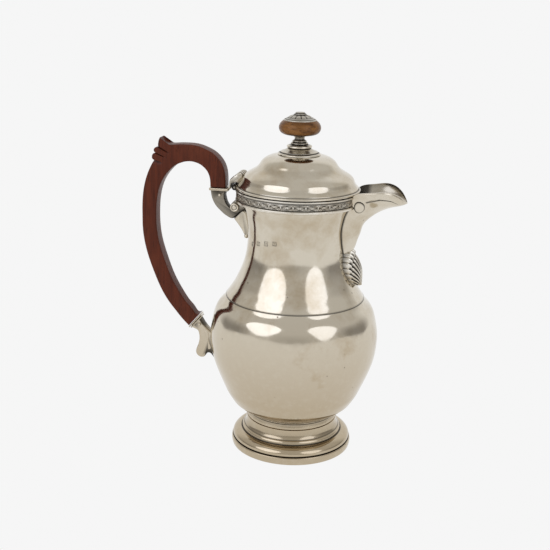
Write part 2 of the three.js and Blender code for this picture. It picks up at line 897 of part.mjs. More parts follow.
const lid = turned(raise([...lidOuter, ...lidInner], lidZ), round, true).subtract(barrelClear);

const bezelOuter = neckTopRadius - sheet - mouthClearance;
const lidBezel = turned(
  [
    [bezelOuter - 1.2, lidZ - bezelDrop],
    [bezelOuter, lidZ - bezelDrop + 0.4],
    [bezelOuter, lidZ],
    [bezelOuter + 0.5, lidZ],
    [bezelOuter + 0.5, lidZ + 1.2],
    [bezelOuter - 1.2, lidZ + 1.2],
  ],
  round,
  true,
).subtract(lid);

// thumbpiece: a scrolled leaf rising from the lid in front of the hinge and curling over it;
// side outline as [distance behind the hinge axis, height above it]
const leafSide = [
  [-5.4, 2.6],
  [-5.2, 4.6],
  [-5.4, 6.8],
  [-4.6, 9.1],
  [-2.8, 10.1],
  [-0.9, 9],
  [0.8, 7.2],
  [2.3, 5],
  [3.3, 2.6],
  [3.7, 0.2],
  [2.8, 0],
  [2.3, 2.3],
  [1, 4.3],
  [-0.4, 6.1],
  [-1.9, 7.4],
  [-3, 6.5],
  [-3.3, 4.9],
  [-3.3, 2.6],
].map(([back, up]) => v2(-hingeX - back, hingeZ + up));
// front outline as [half-width, height above the hinge axis]
const leafFront = [
  [3.2, 0],
  [4.4, 1.4],
  [5.6, 3.2],
  [7.4, 5.4],
  [8.2, 7.6],
  [7.2, 9.6],
  [4.4, 10.6],
];
const leafFace = new THREE.Shape([
  ...leafFront.map(([half, up]) => v2(half, hingeZ + up)),
  ...leafFront.map(([half, up]) => v2(-half, hingeZ + up)).reverse(),
]);
function leafWidths() {
  const geometry = new THREE.ExtrudeGeometry(leafFace, { depth: 30, bevelEnabled: false });
  geometry.rotateX(Math.PI / 2);
  geometry.rotateZ(Math.PI / 2);
  geometry.translate(-hingeX - 15, 0, 0);
  return solid(geometry);
}
const lidFilled = turned(
  [[0, lidZ], ...offsetProfile(raise(lidOuter.slice(0, -1), lidZ), cutGap), [0, stemZ + cutGap]],
  round,
);
const thumbpiece = board(leafSide, 20)
  .intersect(leafWidths())
  .subtract(lidFilled);

// ---------------------------------------------------------------- finial

const bore = rodRadius + pinGap;
const stemProfile = [
  [bore, 0],
  [14.1, 0],
  [14.1, 0.9],
  [12.6, 1.5],
  [10, 2.4],
  [8.4, 3.3],
  [7.6, 4.4],
  [7.2, 5.6],
  [6.1, 7],
  [4.3, 8.3],
  [3.3, 9.8],
  [3.7, 11.2],
  [4.9, 12.4],
  [5.1, stemHeight],
  [bore, stemHeight],
];
const knobProfile = [
  [bore, 0],
  [knobRadius - 3.6, 0],
  [knobRadius - 0.9, 1.1],
  [knobRadius, 2.9],
  [knobRadius - 0.1, 4.6],
  [knobRadius - 1.3, 6.8],
  [knobRadius - 2.9, knobHeight],
  [bore, knobHeight],
];
const stem = turned(raise(stemProfile, stemZ), 24, true);
const knob = turned(raise(knobProfile, knobZ), 24, true);
const nutTop = lidZ + lidInnerTop;
const rodBottom = nutTop - nutHeight - 0.8;
const capProfile = [
  [0, rodBottom],
  [rodRadius, rodBottom],
  [rodRadius, capZ],
  [10.6, capZ],
  [10.6, capZ + 0.9],
  [8, capZ + 2.1],
  [5.4, capZ + 2.9],
  [3.9, capZ + 3.3],
  [3.9, capZ + 4.1],
  [2.9, capZ + 4.3],
  [2.9, capZ + capHeight],
  [0, capZ + capHeight],
];
const cap = turned(capProfile, 24);
const nutGeometry = new THREE.CylinderGeometry(nutRadius, nutRadius, nutHeight, 6);
nutGeometry.rotateX(Math.PI / 2);
nutGeometry.translate(0, 0, nutTop - nutHeight / 2);
const nut = solid(nutGeometry).subtract(
  turned([[0, 0], [bore, 0], [bore, potTop()], [0, potTop()]], 24),
);
function potTop() {
  return capZ + capHeight;
}

// ---------------------------------------------------------------- assembly

place(pot, "foot_wire", footWire, silver("foot_wire_silver"));
place(pot, "foot_skirt", footSkirt, silver("foot_skirt_silver"));
place(pot, "foot_collar", footCollar, silver("foot_collar_silver"));
place(pot, "bowl", bowl, silver("bowl_silver", 0xcfc9bc, 0.16));
place(pot, "neck", neck.subtract(barrelClear), silver("neck_silver", 0xcfc9bc, 0.16));
place(pot, "rim_band", rimBand, silver("rim_band_silver", 0xb9b4a9, 0.32));
place(pot, "spout", spout, silver("spout_silver", 0xcfc9bc, 0.18));
place(pot, "spout_border_left", border(1).subtract(bandGap), silver("border_silver_left"));
place(pot, "spout_border_right", border(-1).subtract(bandGap), silver("border_silver_right"));
place(pot, "spout_shell", shell(), silver("shell_silver", 0xb4afa3, 0.3));
place(pot, "upper_socket", upperSocket, silver("upper_socket_silver"));
place(pot, "upper_socket_drop", drop, silver("drop_silver"));
place(pot, "lower_socket", lowerSocket, silver("lower_socket_silver"));
place(pot, "handle", handle, wood("handle_wood", 0x5a2d1e, 0.42));
place(pot, "upper_handle_pin", upperPin, silver("upper_pin_silver"));
place(pot, "lower_handle_pin", lowerPin, silver("lower_pin_silver"));
place(pot, "hinge_barrel_left", knuckles.left, silver("hinge_silver_left"));
place(pot, "hinge_barrel_right", knuckles.right, silver("hinge_silver_right"));
place(pot, "hinge_pin", hingePin, silver("hinge_pin_silver"));
place(lidGroup, "hinge_barrel_lid", knuckles.middle, silver("hinge_silver_lid"));
place(lidGroup, "lid", lid, silver("lid_silver", 0xcfc9bc, 0.18));
place(lidGroup, "lid_bezel", lidBezel, silver("bezel_silver"));
place(lidGroup, "thumbpiece", thumbpiece, silver("thumbpiece_silver"));
place(lidGroup, "finial_stem", stem, silver("stem_silver"));
place(lidGroup, "finial_knob", knob, wood("knob_wood", 0x8a5f38, 0.45));
place(lidGroup, "finial_cap", cap, silver("cap_silver"));
place(lidGroup, "finial_nut", nut, silver("nut_silver"));

export default pot;
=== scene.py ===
import math

import bmesh
import bpy
import numpy as np
from mathutils import Matrix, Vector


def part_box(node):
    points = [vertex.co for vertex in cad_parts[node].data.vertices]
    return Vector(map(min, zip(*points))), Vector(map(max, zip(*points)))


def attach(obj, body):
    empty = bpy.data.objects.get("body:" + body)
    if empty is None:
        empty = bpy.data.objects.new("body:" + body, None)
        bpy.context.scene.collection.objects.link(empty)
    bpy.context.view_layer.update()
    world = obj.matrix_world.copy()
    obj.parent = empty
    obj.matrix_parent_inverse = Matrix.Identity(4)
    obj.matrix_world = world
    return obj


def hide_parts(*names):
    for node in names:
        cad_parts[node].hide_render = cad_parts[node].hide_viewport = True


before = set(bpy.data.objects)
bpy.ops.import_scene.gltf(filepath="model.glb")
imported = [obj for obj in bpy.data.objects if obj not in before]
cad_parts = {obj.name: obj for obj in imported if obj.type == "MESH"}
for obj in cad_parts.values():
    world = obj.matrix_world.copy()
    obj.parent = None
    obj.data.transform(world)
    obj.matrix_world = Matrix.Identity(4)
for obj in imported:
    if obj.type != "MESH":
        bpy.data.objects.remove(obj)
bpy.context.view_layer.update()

# %% [markdown]
# ## Levels and radii
# The shapes below are written in millimetres about the pot's own axis, since a
# silversmith's sizes are whole millimetres. The frame is in metres, with the
# axis a little off its middle. This cell reads where the axis and the main
# levels are from the boxes of the CAD nodes, so nothing has to be fitted.
#
# %% Levels and radii
MM = 0.001
bowl_low, bowl_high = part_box("bowl")
AXIS = np.array([(bowl_low[0] + bowl_high[0]) / 2, 0.0, 0.0])


def span(node):
    """Lowest and highest corner of a CAD node in millimetres about the pot's axis."""
    low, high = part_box(node)
    return (np.array(low) - AXIS) / MM, (np.array(high) - AXIS) / MM


BOWL_RADIUS = span("bowl")[1][1]
FOOT_TOP = span("bowl")[0][2]
SHOULDER_Z = span("bowl")[1][2]
BAND_Z = span("rim_band")[0][2]
MOUTH_Z = span("rim_band")[1][2]
BAND_RADIUS = span("rim_band")[1][1]
SPOUT_REACH = span("spout")[1][0]
NECK_TOP = BAND_RADIUS - 3.0
NECK_WAIST = 0.571 * BOWL_RADIUS
NECK_HEIGHT = BAND_Z - SHOULDER_Z
HINGE_X = (span("hinge_pin")[0][0] + span("hinge_pin")[1][0]) / 2
HINGE_Z = (span("hinge_pin")[0][2] + span("hinge_pin")[1][2]) / 2
print("axis", AXIS[0], "bowl", BOWL_RADIUS, "shoulder", SHOULDER_Z, "band", BAND_Z, BAND_RADIUS)

# %% [markdown]
# ## Camera
# The pot is seen from a little above its rim and from just on the spout's side
# of square on. A camera is a matrix: its first three columns are the
# directions right, up and backwards, and the last is its place. They are
# worked out from the angles of its aim, then turned with the pot.
#
# %% Camera
VIEW_DISTANCE = 0.650
VIEW_HEIGHT = 0.3099
POT_TURN = math.radians(9.5)
LOOK_DOWN = math.radians(16.25)
LOOK_ASIDE = math.radians(-1.22)
CAMERA_ROLL = math.radians(1.38)
SENSOR_WIDTH = 36.0
LENS = 65.7


def turned(vector, angle):
    """A vector turned about the vertical: x and y mixed by the angle's cosine and sine."""
    c, s = math.cos(angle), math.sin(angle)
    return np.array([c * vector[0] - s * vector[1], s * vector[0] + c * vector[1], vector[2]])


def camera_axes():
    """Right, up and back: the aim is turned aside and down, then the frame is rolled about it."""
    aside = np.array([math.sin(LOOK_ASIDE), math.cos(LOOK_ASIDE), 0.0])
    aim = math.cos(LOOK_DOWN) * aside - math.sin(LOOK_DOWN) * np.array([0.0, 0.0, 1.0])
    right = np.array([math.cos(LOOK_ASIDE), -math.sin(LOOK_ASIDE), 0.0])
    up = np.cross(right, aim)
    rolled_right = math.cos(CAMERA_ROLL) * right + math.sin(CAMERA_ROLL) * up
    rolled_up = math.cos(CAMERA_ROLL) * up - math.sin(CAMERA_ROLL) * right
    return [turned(v, POT_TURN) for v in (rolled_right, rolled_up, -aim)]


camera_data = bpy.data.cameras.new("camera")
camera_data.sensor_width = SENSOR_WIDTH
camera_data.lens = LENS
camera_data.clip_start = 0.01
camera = bpy.data.objects.new("camera", camera_data)
bpy.context.scene.collection.objects.link(camera)
camera_place = turned(np.array([0.0, -VIEW_DISTANCE, VIEW_HEIGHT]), POT_TURN) + AXIS
columns = np.column_stack([*camera_axes(), camera_place])
camera.matrix_world = Matrix([*columns.tolist(), [0, 0, 0, 1]])
bpy.context.scene.camera = camera
bpy.context.scene.view_settings.view_transform = "Standard"
print("camera at", np.round(camera_place, 4))

# %% [markdown]
# ## Shader helpers
# A finish is a small chain of shader nodes. These helpers add one node and
# join its inputs in one line, so that each chain can be read from top to
# bottom like a recipe.
#
# %% Shader helpers


def add_node(tree, kind, inputs=None, **settings):
    """One shader node: settings are its options, inputs are values or sockets to join."""
    made = tree.nodes.new("ShaderNode" + kind)
    for key, value in settings.items():
        setattr(made, key, value)
    for key, value in (inputs or {}).items():
        if isinstance(value, bpy.types.NodeSocket):
            tree.links.new(value, made.inputs[key])
        else:
            made.inputs[key].default_value = value
    return made


def mix_colour(tree, share, first, second):
    """first and second colour blended by share: 0 gives the first."""
    mixed = add_node(tree, "Mix", {0: share, 6: first, 7: second}, data_type="RGBA")
    return mixed.outputs[2]


def ramp(tree, value, start, end, low=0.0, high=1.0):
    """value stretched so that start becomes low and end becomes high, held at both ends."""
    stretched = add_node(
        tree, "MapRange", {"Value": value, 1: start, 2: end, 3: low, 4: high}, clamp=True
    )
    return stretched.outputs["Result"]


def arithmetic(tree, operation, first, second):
    """One sum of two values."""
    return add_node(tree, "Math", {0: first, 1: second}, operation=operation).outputs[0]


def noise(tree, place, scale, detail=4.0, roughness=0.55):
    """Cloudy noise with features about one metre over scale across."""
    made = add_node(
        tree, "TexNoise", {"Vector": place, "Scale": scale, "Detail": detail, "Roughness": roughness}
    )
    return made.outputs["Fac"]


def stretched_place(tree, place, scale):
    """The same place with each direction scaled, to draw noise out into streaks."""
    return add_node(tree, "Mapping", {"Vector": place, "Scale": scale}).outputs["Vector"]


# %% [markdown]
# ## Studio
# Polished silver shows little of its own: most of what the eye sees is the
# room. So the room is built first: a wide white floor, a pale surround with a
# greyer wall to each side and a soft grey patch round the camera, and two
# oval soft lights in front, to the left and the right, above the camera.
#
# %% Floor
STUDIO_WHITE = (0.921, 0.921, 0.921, 1.0)
FLOOR_RADIUS = 0.9
FLOOR_SIDES = 96
floor_mesh = bpy.data.meshes.new("studio_floor")
floor_angle = np.linspace(0, 2 * np.pi, FLOOR_SIDES, endpoint=False)
floor_ring = np.stack([np.cos(floor_angle), np.sin(floor_angle), 0 * floor_angle], axis=1) * FLOOR_RADIUS
floor_mesh.from_pydata(floor_ring.tolist(), [], [list(range(FLOOR_SIDES))])
floor = bpy.data.objects.new("studio_floor", floor_mesh)
bpy.context.scene.collection.objects.link(floor)
floor_material = bpy.data.materials.new("studio_floor")
floor_material.use_nodes = True
tree = floor_material.node_tree
tree.nodes.clear()
glow = add_node(tree, "Emission", {"Color": STUDIO_WHITE})
add_node(tree, "OutputMaterial", {"Surface": glow.outputs[0]})
floor_mesh.materials.append(floor_material)

# %% Surround
ROOM = (0.66, 0.65, 0.63, 1.0)
NEAR_CAMERA = (0.52, 0.51, 0.49, 1.0)
SHADE = (0.33, 0.32, 0.31, 1.0)
to_camera = turned(np.array([0.0, -1.0, 0.0]), POT_TURN)
world = bpy.data.worlds.new("studio")
world.use_nodes = True
tree = world.node_tree
tree.nodes.clear()
direction = add_node(tree, "TexCoord").outputs["Generated"]
facing = add_node(
    tree, "VectorMath", {0: direction, 1: to_camera.tolist()}, operation="DOT_PRODUCT"
).outputs["Value"]
height = add_node(tree, "SeparateXYZ", {0: direction}).outputs["Z"]
# the white paper's edge stands higher on the camera's side than behind the pot
edge = ramp(tree, facing, 0.45, -0.35, 0.06, -0.10)
above_edge = arithmetic(tree, "SUBTRACT", height, edge)
to_side = arithmetic(
    tree, "MULTIPLY", ramp(tree, facing, 0.55, 0.15), ramp(tree, above_edge, 0.50, 0.12)
)
room = mix_colour(tree, to_side, ROOM, SHADE)
# the camera and whoever holds it make the room greyer just round the lens
near = arithmetic(tree, "MULTIPLY", ramp(tree, facing, 0.80, 0.99), ramp(tree, height, 0.34, 0.14))
room = mix_colour(tree, near, room, NEAR_CAMERA)
seen = arithmetic(tree, "MULTIPLY", ramp(tree, above_edge, 0.0, 0.03), ramp(tree, facing, -0.65, -0.40))
colour = mix_colour(tree, seen, STUDIO_WHITE, room)
background = add_node(tree, "Background", {"Color": colour})
add_node(tree, "OutputWorld", {"Surface": background.outputs[0]})
bpy.context.scene.world = world

# %% Soft lights
LIGHT_TINT = (0.92, 0.97, 1.12)
LIGHTS_ABOVE_FLOOR = 0.12
LIGHT_DISTANCE = 1.3


def soft_light(name, aside, above, width, height, power):
    """An oval lamp on a sphere about the pot; aside and above are degrees from the camera's side."""
    aside, above = math.radians(aside), math.radians(above)
    place = turned(
        np.array([
            math.sin(aside) * math.cos(above),
            -math.cos(aside) * math.cos(above),
            math.sin(above),
        ]),
        POT_TURN,
    )
    data = bpy.data.lights.new(name, "AREA")
    data.shape = "ELLIPSE"
    data.color = LIGHT_TINT
    data.size, data.size_y, data.energy = width, height, power
    lamp = bpy.data.objects.new(name, data)
    bpy.context.scene.collection.objects.link(lamp)
    across = np.cross([0.0, 0.0, 1.0], place)
    across /= np.linalg.norm(across)
    centre = place * LIGHT_DISTANCE + AXIS + [0, 0, LIGHTS_ABOVE_FLOOR]
    lamp.matrix_world = Matrix([
        *np.column_stack([across, np.cross(place, across), place, centre]).tolist(),
        [0, 0, 0, 1],
    ])


soft_light("left_soft_light", -48, 30, 1.2, 1.12, 3.8)
soft_light("right_soft_light", 44, 28, 0.92, 1.15, 2.4)
print("floor, surround and", len(bpy.data.lights), "soft lights")

# %% [markdown]
# ## Silver
# Old table silver is bright but never a perfect mirror. It has a faint warm
# film, a cloud of hairline scratches that softens what it reflects, shallow
# waves left by the hammer, small tarnish spots, and black oxide in the
# hollows that a cloth can't reach. The black comes from an attribute that
# each piece's own formula writes, so that the oxide lies exactly where the
# surface goes in. The same attribute also carries painted shade, where a
# piece is darkened under, beside or between other parts or inside an
# opening. The film is laid on more thickly towards the bottom, partly as
# painted shade there.
#
# %% Silver
SPOT_BROWN = (0.16, 0.13, 0.10, 1)
OXIDE_AND_SHADE_BLACK = (0.018, 0.015, 0.012, 1)


def silver(name, clean, film_and_shade_tint, roughness, waves, spots, hairline):
    """Metal whose colour is clean silver, then a warm tarnish tint by cloudy noise and thicker low down,
    partly painted shade, then spots, then oxide and painted shade by an attribute.
    """
    material = bpy.data.materials.new(name)
    material.use_nodes = True
    tree = material.node_tree
    shader = tree.nodes["Principled BSDF"]
    place = add_node(tree, "TexCoord").outputs["Object"]
    hollow_and_painted_shade = add_node(tree, "Attribute", attribute_name="hollow_and_painted_shade").outputs["Fac"]
    cloud = noise(tree, place, 34.0, 6.0, 0.62)
    fine_cloud = noise(tree, place, 240.0, 5.0, 0.6)
    height = add_node(tree, "SeparateXYZ", {0: place}).outputs["Z"]
    # partly painted shade: the warm film is laid on more thickly towards the bottom, darkening the lower pot
    low_film_and_shade = ramp(tree, height, 0.110, 0.040, 0.0, 0.9)
    film_and_low_shade = arithmetic(tree, "MAXIMUM", ramp(tree, cloud, 0.44, 0.70), low_film_and_shade)
    film_and_low_shade = arithmetic(tree, "MULTIPLY", film_and_low_shade, ramp(tree, fine_cloud, 0.2, 0.5, 0.75, 1.0))
    colour = mix_colour(tree, film_and_low_shade, clean, film_and_shade_tint)
    cells = add_node(tree, "TexVoronoi", {"Vector": place, "Scale": 210.0, "Randomness": 1.0})
    chosen = add_node(tree, "SeparateColor", {0: cells.outputs["Color"]}).outputs[0]
    spot = arithmetic(
        tree,
        "MULTIPLY",
        ramp(tree, cells.outputs["Distance"], 0.15, 0.06),
        ramp(tree, chosen, 1.0 - spots, 1.0 - 0.6 * spots),
    )
    colour = mix_colour(tree, arithmetic(tree, "MULTIPLY", spot, 0.75), colour, SPOT_BROWN)
    # the attribute blackens the silver: oxide in the hollows, and painted shade wherever a piece's formula
    # puts it
    oxide_and_shade = ramp(tree, hollow_and_painted_shade, 0.0, 1.0, 0.0, 0.97)
    colour = mix_colour(tree, oxide_and_shade, colour, OXIDE_AND_SHADE_BLACK)
    tree.links.new(colour, shader.inputs["Base Color"])
    rough = ramp(tree, fine_cloud, 0.3, 0.7, roughness - 0.03, roughness + 0.05)
    rough = arithmetic(tree, "ADD", rough, arithmetic(tree, "MULTIPLY", oxide_and_shade, 0.35))
    rough = arithmetic(tree, "ADD", rough, arithmetic(tree, "MULTIPLY", spot, 0.3))
    tree.links.new(rough, shader.inputs["Roughness"])
    shader.inputs["Metallic"].default_value = 1.0
    hammer = add_node(
        tree, "Bump", {"Height": noise(tree, place, 42.0, 2.0), "Strength": 1.0, "Distance": waves}
    )
    across = noise(tree, stretched_place(tree, place, (300.0, 300.0, 5200.0)), 1.0, 3.0)
    along = noise(tree, stretched_place(tree, place, (4200.0, 3600.0, 160.0)), 1.0, 3.0)
    marks = arithmetic(tree, "ADD", across, along)
    scratched = add_node(
        tree,
        "Bump",
        {"Height": marks, "Strength": 1.0, "Distance": hairline, "Normal": hammer.outputs[0]},
    )
    tree.links.new(scratched.outputs[0], shader.inputs["Normal"])
    return material


CLEAN = (0.655, 0.60, 0.50, 1.0)
FILM_AND_SHADE_TINT = (0.47, 0.385, 0.265, 1.0)
POLISHED = silver("polished_silver", CLEAN, FILM_AND_SHADE_TINT, 0.10, 0.00024, 0.09, 0.0000026)
HANDLED = silver("handled_silver", CLEAN, FILM_AND_SHADE_TINT, 0.17, 0.00006, 0.05, 0.000004)
WORN = (0.74, 0.70, 0.62, 1.0)
RELIEF = silver("worn_relief_silver", WORN, FILM_AND_SHADE_TINT, 0.2, 0.00002, 0.03, 0.000003)
# painted shade: the hinge, its rod, the bezel and the nut get a darker grey silver, as they lie in shadow
SHADOWED_GREY, SHADOWED_GREY_FILM = (0.45, 0.42, 0.36, 1.0), (0.3, 0.27, 0.22, 1.0)
SHADOWED_DULL = silver("shadowed_silver", SHADOWED_GREY, SHADOWED_GREY_FILM, 0.34, 0.00003, 0.1, 0.000004)
print("silver finishes:", [m.name for m in (POLISHED, HANDLED, RELIEF, SHADOWED_DULL)])

# %% [markdown]
# ## Wood
# The handle is cut from a board of dark, stained hardwood with the grain
# upright, and the knob is turned from a lighter piece. Noise drawn out along
# the grain gives streaks, a finer noise gives the pores, and a thin coat
# stands for years of wax and hands.
#
# %% Wood
CUT_AND_SHADE_DARK = (0.006, 0.004, 0.003, 1)


def wood(name, dark, middle, light, grain, roughness, coat):
    """Wood whose colour runs dark, middle, light by streaked noise; grain scales the three directions."""
    material = bpy.data.materials.new(name)
    material.use_nodes = True
    tree = material.node_tree
    shader = tree.nodes["Principled BSDF"]
    place = add_node(tree, "TexCoord").outputs["Object"]
    bend = noise(tree, place, 26.0, 2.0)
    along_grain = stretched_place(tree, place, grain)
    wander = add_node(tree, "VectorMath", {0: along_grain, 1: bend}, operation="ADD").outputs[0]
    streak = noise(tree, wander, 1.0, 6.0, 0.6)
    patch = noise(tree, place, 30.0, 3.0)
    colour = mix_colour(tree, ramp(tree, streak, 0.36, 0.62), dark, middle)
    colour = mix_colour(tree, ramp(tree, patch, 0.5, 0.72, 0.0, 0.6), colour, light)
    pore_place = stretched_place(tree, place, tuple(5.0 * g for g in grain))
    pore = ramp(tree, noise(tree, pore_place, 1.0, 2.0), 0.60, 0.68)
    pore_dark = (*(0.35 * c for c in dark[:3]), 1)
    colour = mix_colour(tree, arithmetic(tree, "MULTIPLY", pore, 0.7), colour, pore_dark)
    hollow_and_painted_shade = add_node(tree, "Attribute", attribute_name="hollow_and_painted_shade").outputs["Fac"]
    # the attribute darkens the wood: carved grooves on the handle, and painted shade at the knob's bottom
    # edge
    colour = mix_colour(tree, arithmetic(tree, "MULTIPLY", hollow_and_painted_shade, 0.85), colour, CUT_AND_SHADE_DARK)
    tree.links.new(colour, shader.inputs["Base Color"])
    rough = ramp(tree, patch, 0.3, 0.7, roughness - 0.06, roughness + 0.08)
    rough = arithmetic(tree, "ADD", rough, arithmetic(tree, "MULTIPLY", pore, 0.2))
    tree.links.new(rough, shader.inputs["Roughness"])
    shader.inputs["Specular IOR Level"].default_value = 0.15
    shader.inputs["Coat Weight"].default_value = coat
    shader.inputs["Coat Roughness"].default_value = 0.25
    depth = arithmetic(tree, "SUBTRACT", streak, arithmetic(tree, "MULTIPLY", pore, 0.6))
    bump = add_node(tree, "Bump", {"Height": depth, "Strength": 1.0, "Distance": 0.00006})
    tree.links.new(bump.outputs[0], shader.inputs["Normal"])
    return material


HANDLE_WOOD = wood(
    "stained_handle_wood",
    (0.062, 0.0115, 0.0035, 1),
    (0.098, 0.019, 0.006, 1),
    (0.128, 0.030, 0.011, 1),
    (330.0, 330.0, 17.0),
    0.36,
    0.06,
)
KNOB_WOOD = wood(
    "turned_knob_wood",
    (0.080, 0.030, 0.007, 1),
    (0.225, 0.098, 0.026, 1),
    (0.33, 0.165, 0.055, 1),
    (45.0, 160.0, 320.0),
    0.30,
    0.12,
)
print("wood finishes:", HANDLE_WOOD.name, KNOB_WOOD.name)

# %% [markdown]
# ## Shape helpers
# Nearly every piece here is a grid of points that is wrapped into a closed
# skin: a profile turned round the axis, or sections carried along a path.
# The helpers make smooth curves through a few known points, ease corners so
# that edges catch a thin line of light, and put a grid into a mesh.
#
# %% Smooth curve


def spline(points, count):
    """Natural cubic spline through the points, by distance along them: its bends solve a banded system."""
    p = np.asarray(points, float)
    s = np.concatenate([[0.0], np.cumsum(np.linalg.norm(np.diff(p, axis=0), axis=1))])
    h = np.diff(s)
    n = len(p)
    band = np.zeros((n, n))
    band[0, 0] = band[-1, -1] = 1.0
    k = np.arange(1, n - 1)
    band[k, k - 1], band[k, k], band[k, k + 1] = h[:-1], 2 * (h[:-1] + h[1:]), h[1:]
    turn = np.zeros_like(p)
    turn[1:-1] = 6 * np.diff(np.diff(p, axis=0) / h[:, None], axis=0)
    bend = np.linalg.solve(band, turn)
    at = np.linspace(0.0, s[-1], count)
    k = np.clip(np.searchsorted(s, at, side="right") - 1, 0, n - 2)
    a = ((s[k + 1] - at) / h[k])[:, None]
    b = 1 - a
    cubic = ((a**3 - a) * bend[k] + (b**3 - b) * bend[k + 1]) * (h[k] ** 2)[:, None] / 6
    return a * p[k] + b * p[k + 1] + cubic


# %% Eased corners


def ease(points, radius=0.25, steps=4, closed=True, least=0.3):
    """Every corner that turns more than least radians becomes a curve that starts and ends radius away."""
    p = np.asarray(points, float)
    back, ahead = np.roll(p, 1, 0) - p, np.roll(p, -1, 0) - p
    if not closed:
        back[0], ahead[-1] = -ahead[0], -back[-1]
    back_length = np.linalg.norm(back, axis=1)
    ahead_length = np.linalg.norm(ahead, axis=1)
    cosine = -(back * ahead).sum(1) / (back_length * ahead_length)
    corner = np.arccos(np.clip(cosine, -1, 1)) > least
    cut = np.where(corner, np.minimum(radius, 0.45 * np.minimum(back_length, ahead_length)), 0)
    start = p + back * (cut / back_length)[:, None]
    end = p + ahead * (cut / ahead_length)[:, None]
    t = np.linspace(0, 1, steps + 1)[None, :, None]
    curve = (1 - t) ** 2 * start[:, None] + 2 * t * (1 - t) * p[:, None] + t**2 * end[:, None]
    curve = curve.reshape(-1, p.shape[1])
    step = np.linalg.norm(curve - np.roll(curve, 1, 0), axis=1)
    keep = step > 1e-5
    if not closed:
        keep[0] = True
    return curve[keep]


# %% Offset and hollows of a profile


def offset(profile, distance):
    """A profile moved along its own normal: the tangent turned a quarter, times the distance."""
    p = np.asarray(profile, float)
    tangent = np.gradient(p, axis=0)
    tangent /= np.linalg.norm(tangent, axis=1)[:, None]
    return p + distance * np.stack([tangent[:, 1], -tangent[:, 0]], axis=1)


def hollows(profile, reach=0.45, full=0.8):
    """How far each point of a closed profile lies in a hollow: inward turning, summed over a short reach."""
    p = np.asarray(profile, float)
    into, out = p - np.roll(p, 1, 0), np.roll(p, -1, 0) - p
    cross = into[:, 0] * out[:, 1] - into[:, 1] * out[:, 0]
    turn = np.arctan2(cross, (into * out).sum(1))
    gap = np.linalg.norm(p[:, None] - p[None], axis=2)
    nearby = (np.exp(-((gap / reach) ** 2)) * np.minimum(turn, 0)[None]).sum(1)
    return np.clip(-nearby / full, 0, 1)


# %% From a grid to a finished piece


def grid_faces(rows, columns, wrap_rows, wrap_columns):
    """Four-cornered faces between neighbouring points of a grid, numbered row by row."""
    i, j = np.meshgrid(
        np.arange(rows if wrap_rows else rows - 1),
        np.arange(columns if wrap_columns else columns - 1),
        indexing="ij",
    )
    below, beside = (i + 1) % rows, (j + 1) % columns
    corners = [(i, j), (i, beside), (below, beside), (below, j)]
    return np.stack([row * columns + column for row, column in corners], axis=-1).reshape(-1, 4).tolist()


def finish_piece(name, points, faces, nodes, material, hollow_and_painted_shade=None, sharp=38.0, body="pot"):
    """Millimetre points and faces to a closed, outward, smooth mesh that rides on its body."""
    mesh = bpy.data.meshes.new(name)
    mesh.from_pydata((points * MM + AXIS).tolist(), [], faces)
    layer = mesh.attributes.new("hollow_and_painted_shade", "FLOAT", "POINT")
    layer.data.foreach_set("value", np.zeros(len(points)) if hollow_and_painted_shade is None else hollow_and_painted_shade)
    skin = bmesh.new()
    skin.from_mesh(mesh)
    bmesh.ops.remove_doubles(skin, verts=skin.verts, dist=3e-7)
    bmesh.ops.dissolve_degenerate(skin, edges=skin.edges, dist=1e-8)
    bmesh.ops.recalc_face_normals(skin, faces=skin.faces)
    open_edges = sum(1 for edge in skin.edges if len(edge.link_faces) != 2)
    skin.to_mesh(mesh)
    skin.free()
    mesh.polygons.foreach_set("use_smooth", np.ones(len(mesh.polygons), bool))
    mesh.set_sharp_from_angle(angle=math.radians(sharp))
    mesh.materials.append(material)
    piece = bpy.data.objects.new(name, mesh)
    bpy.context.scene.collection.objects.link(piece)
    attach(piece, body)
    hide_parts(*nodes)
    print(f"{name}: {len(mesh.polygons)} faces, {open_edges} open edges")
    return piece


def finish_grid(name, grid, wraps, nodes, slot, material, shade=None, sharp=38.0, body="pot"):
    """One grid of points as a piece. wraps says whether its rows and its columns close on themselves."""
    rows, columns = grid.shape[:2]
    dark = None if shade is None else np.broadcast_to(shade, (rows, columns)).reshape(-1)
    faces = grid_faces(rows, columns, *wraps)
    return finish_piece(name, grid.reshape(-1, 3), faces, nodes, material, dark, sharp, body)


def with_ends(grid):
    """The grid with one more row at each end, every point of it at the middle of the row beside it."""
    first, last = [row.mean(1, keepdims=True) + 0 * row for row in (grid[:1], grid[-1:])]
    return np.concatenate([first, grid, last])


def with_end_shades(shade):
    """Shades for with_ends: the first and the last row once more."""
    return np.concatenate([shade[:1], shade, shade[-1:]])


# %% Turned work


def turned_points(profile, segments):
    """A profile of (radius, height) swept once round: x = r cos a, y = r sin a, z = height."""
    angle = np.linspace(0, 2 * np.pi, segments, endpoint=False)[:, None]
    r, z = profile[None, :, 0], profile[None, :, 1]
    return np.stack([r * np.cos(angle), r * np.sin(angle), z + 0 * angle], axis=-1)


def turn_piece(
    name, profile, nodes, slot, material, segments=224, hollow_and_painted_shade=None, bend=None, closed=True, **more
):
    """A profile turned round the pot's axis. Its darkening, oxide in hollows and any painted shade, is the
    profile's own hollows unless it is given.
    """
    grid = turned_points(profile, segments)
    dark = hollows(profile) if hollow_and_painted_shade is None else hollow_and_painted_shade
    if bend is not None:
        grid = bend(grid)
    return finish_grid(name, grid, (True, closed), nodes, slot, material, dark, **more)


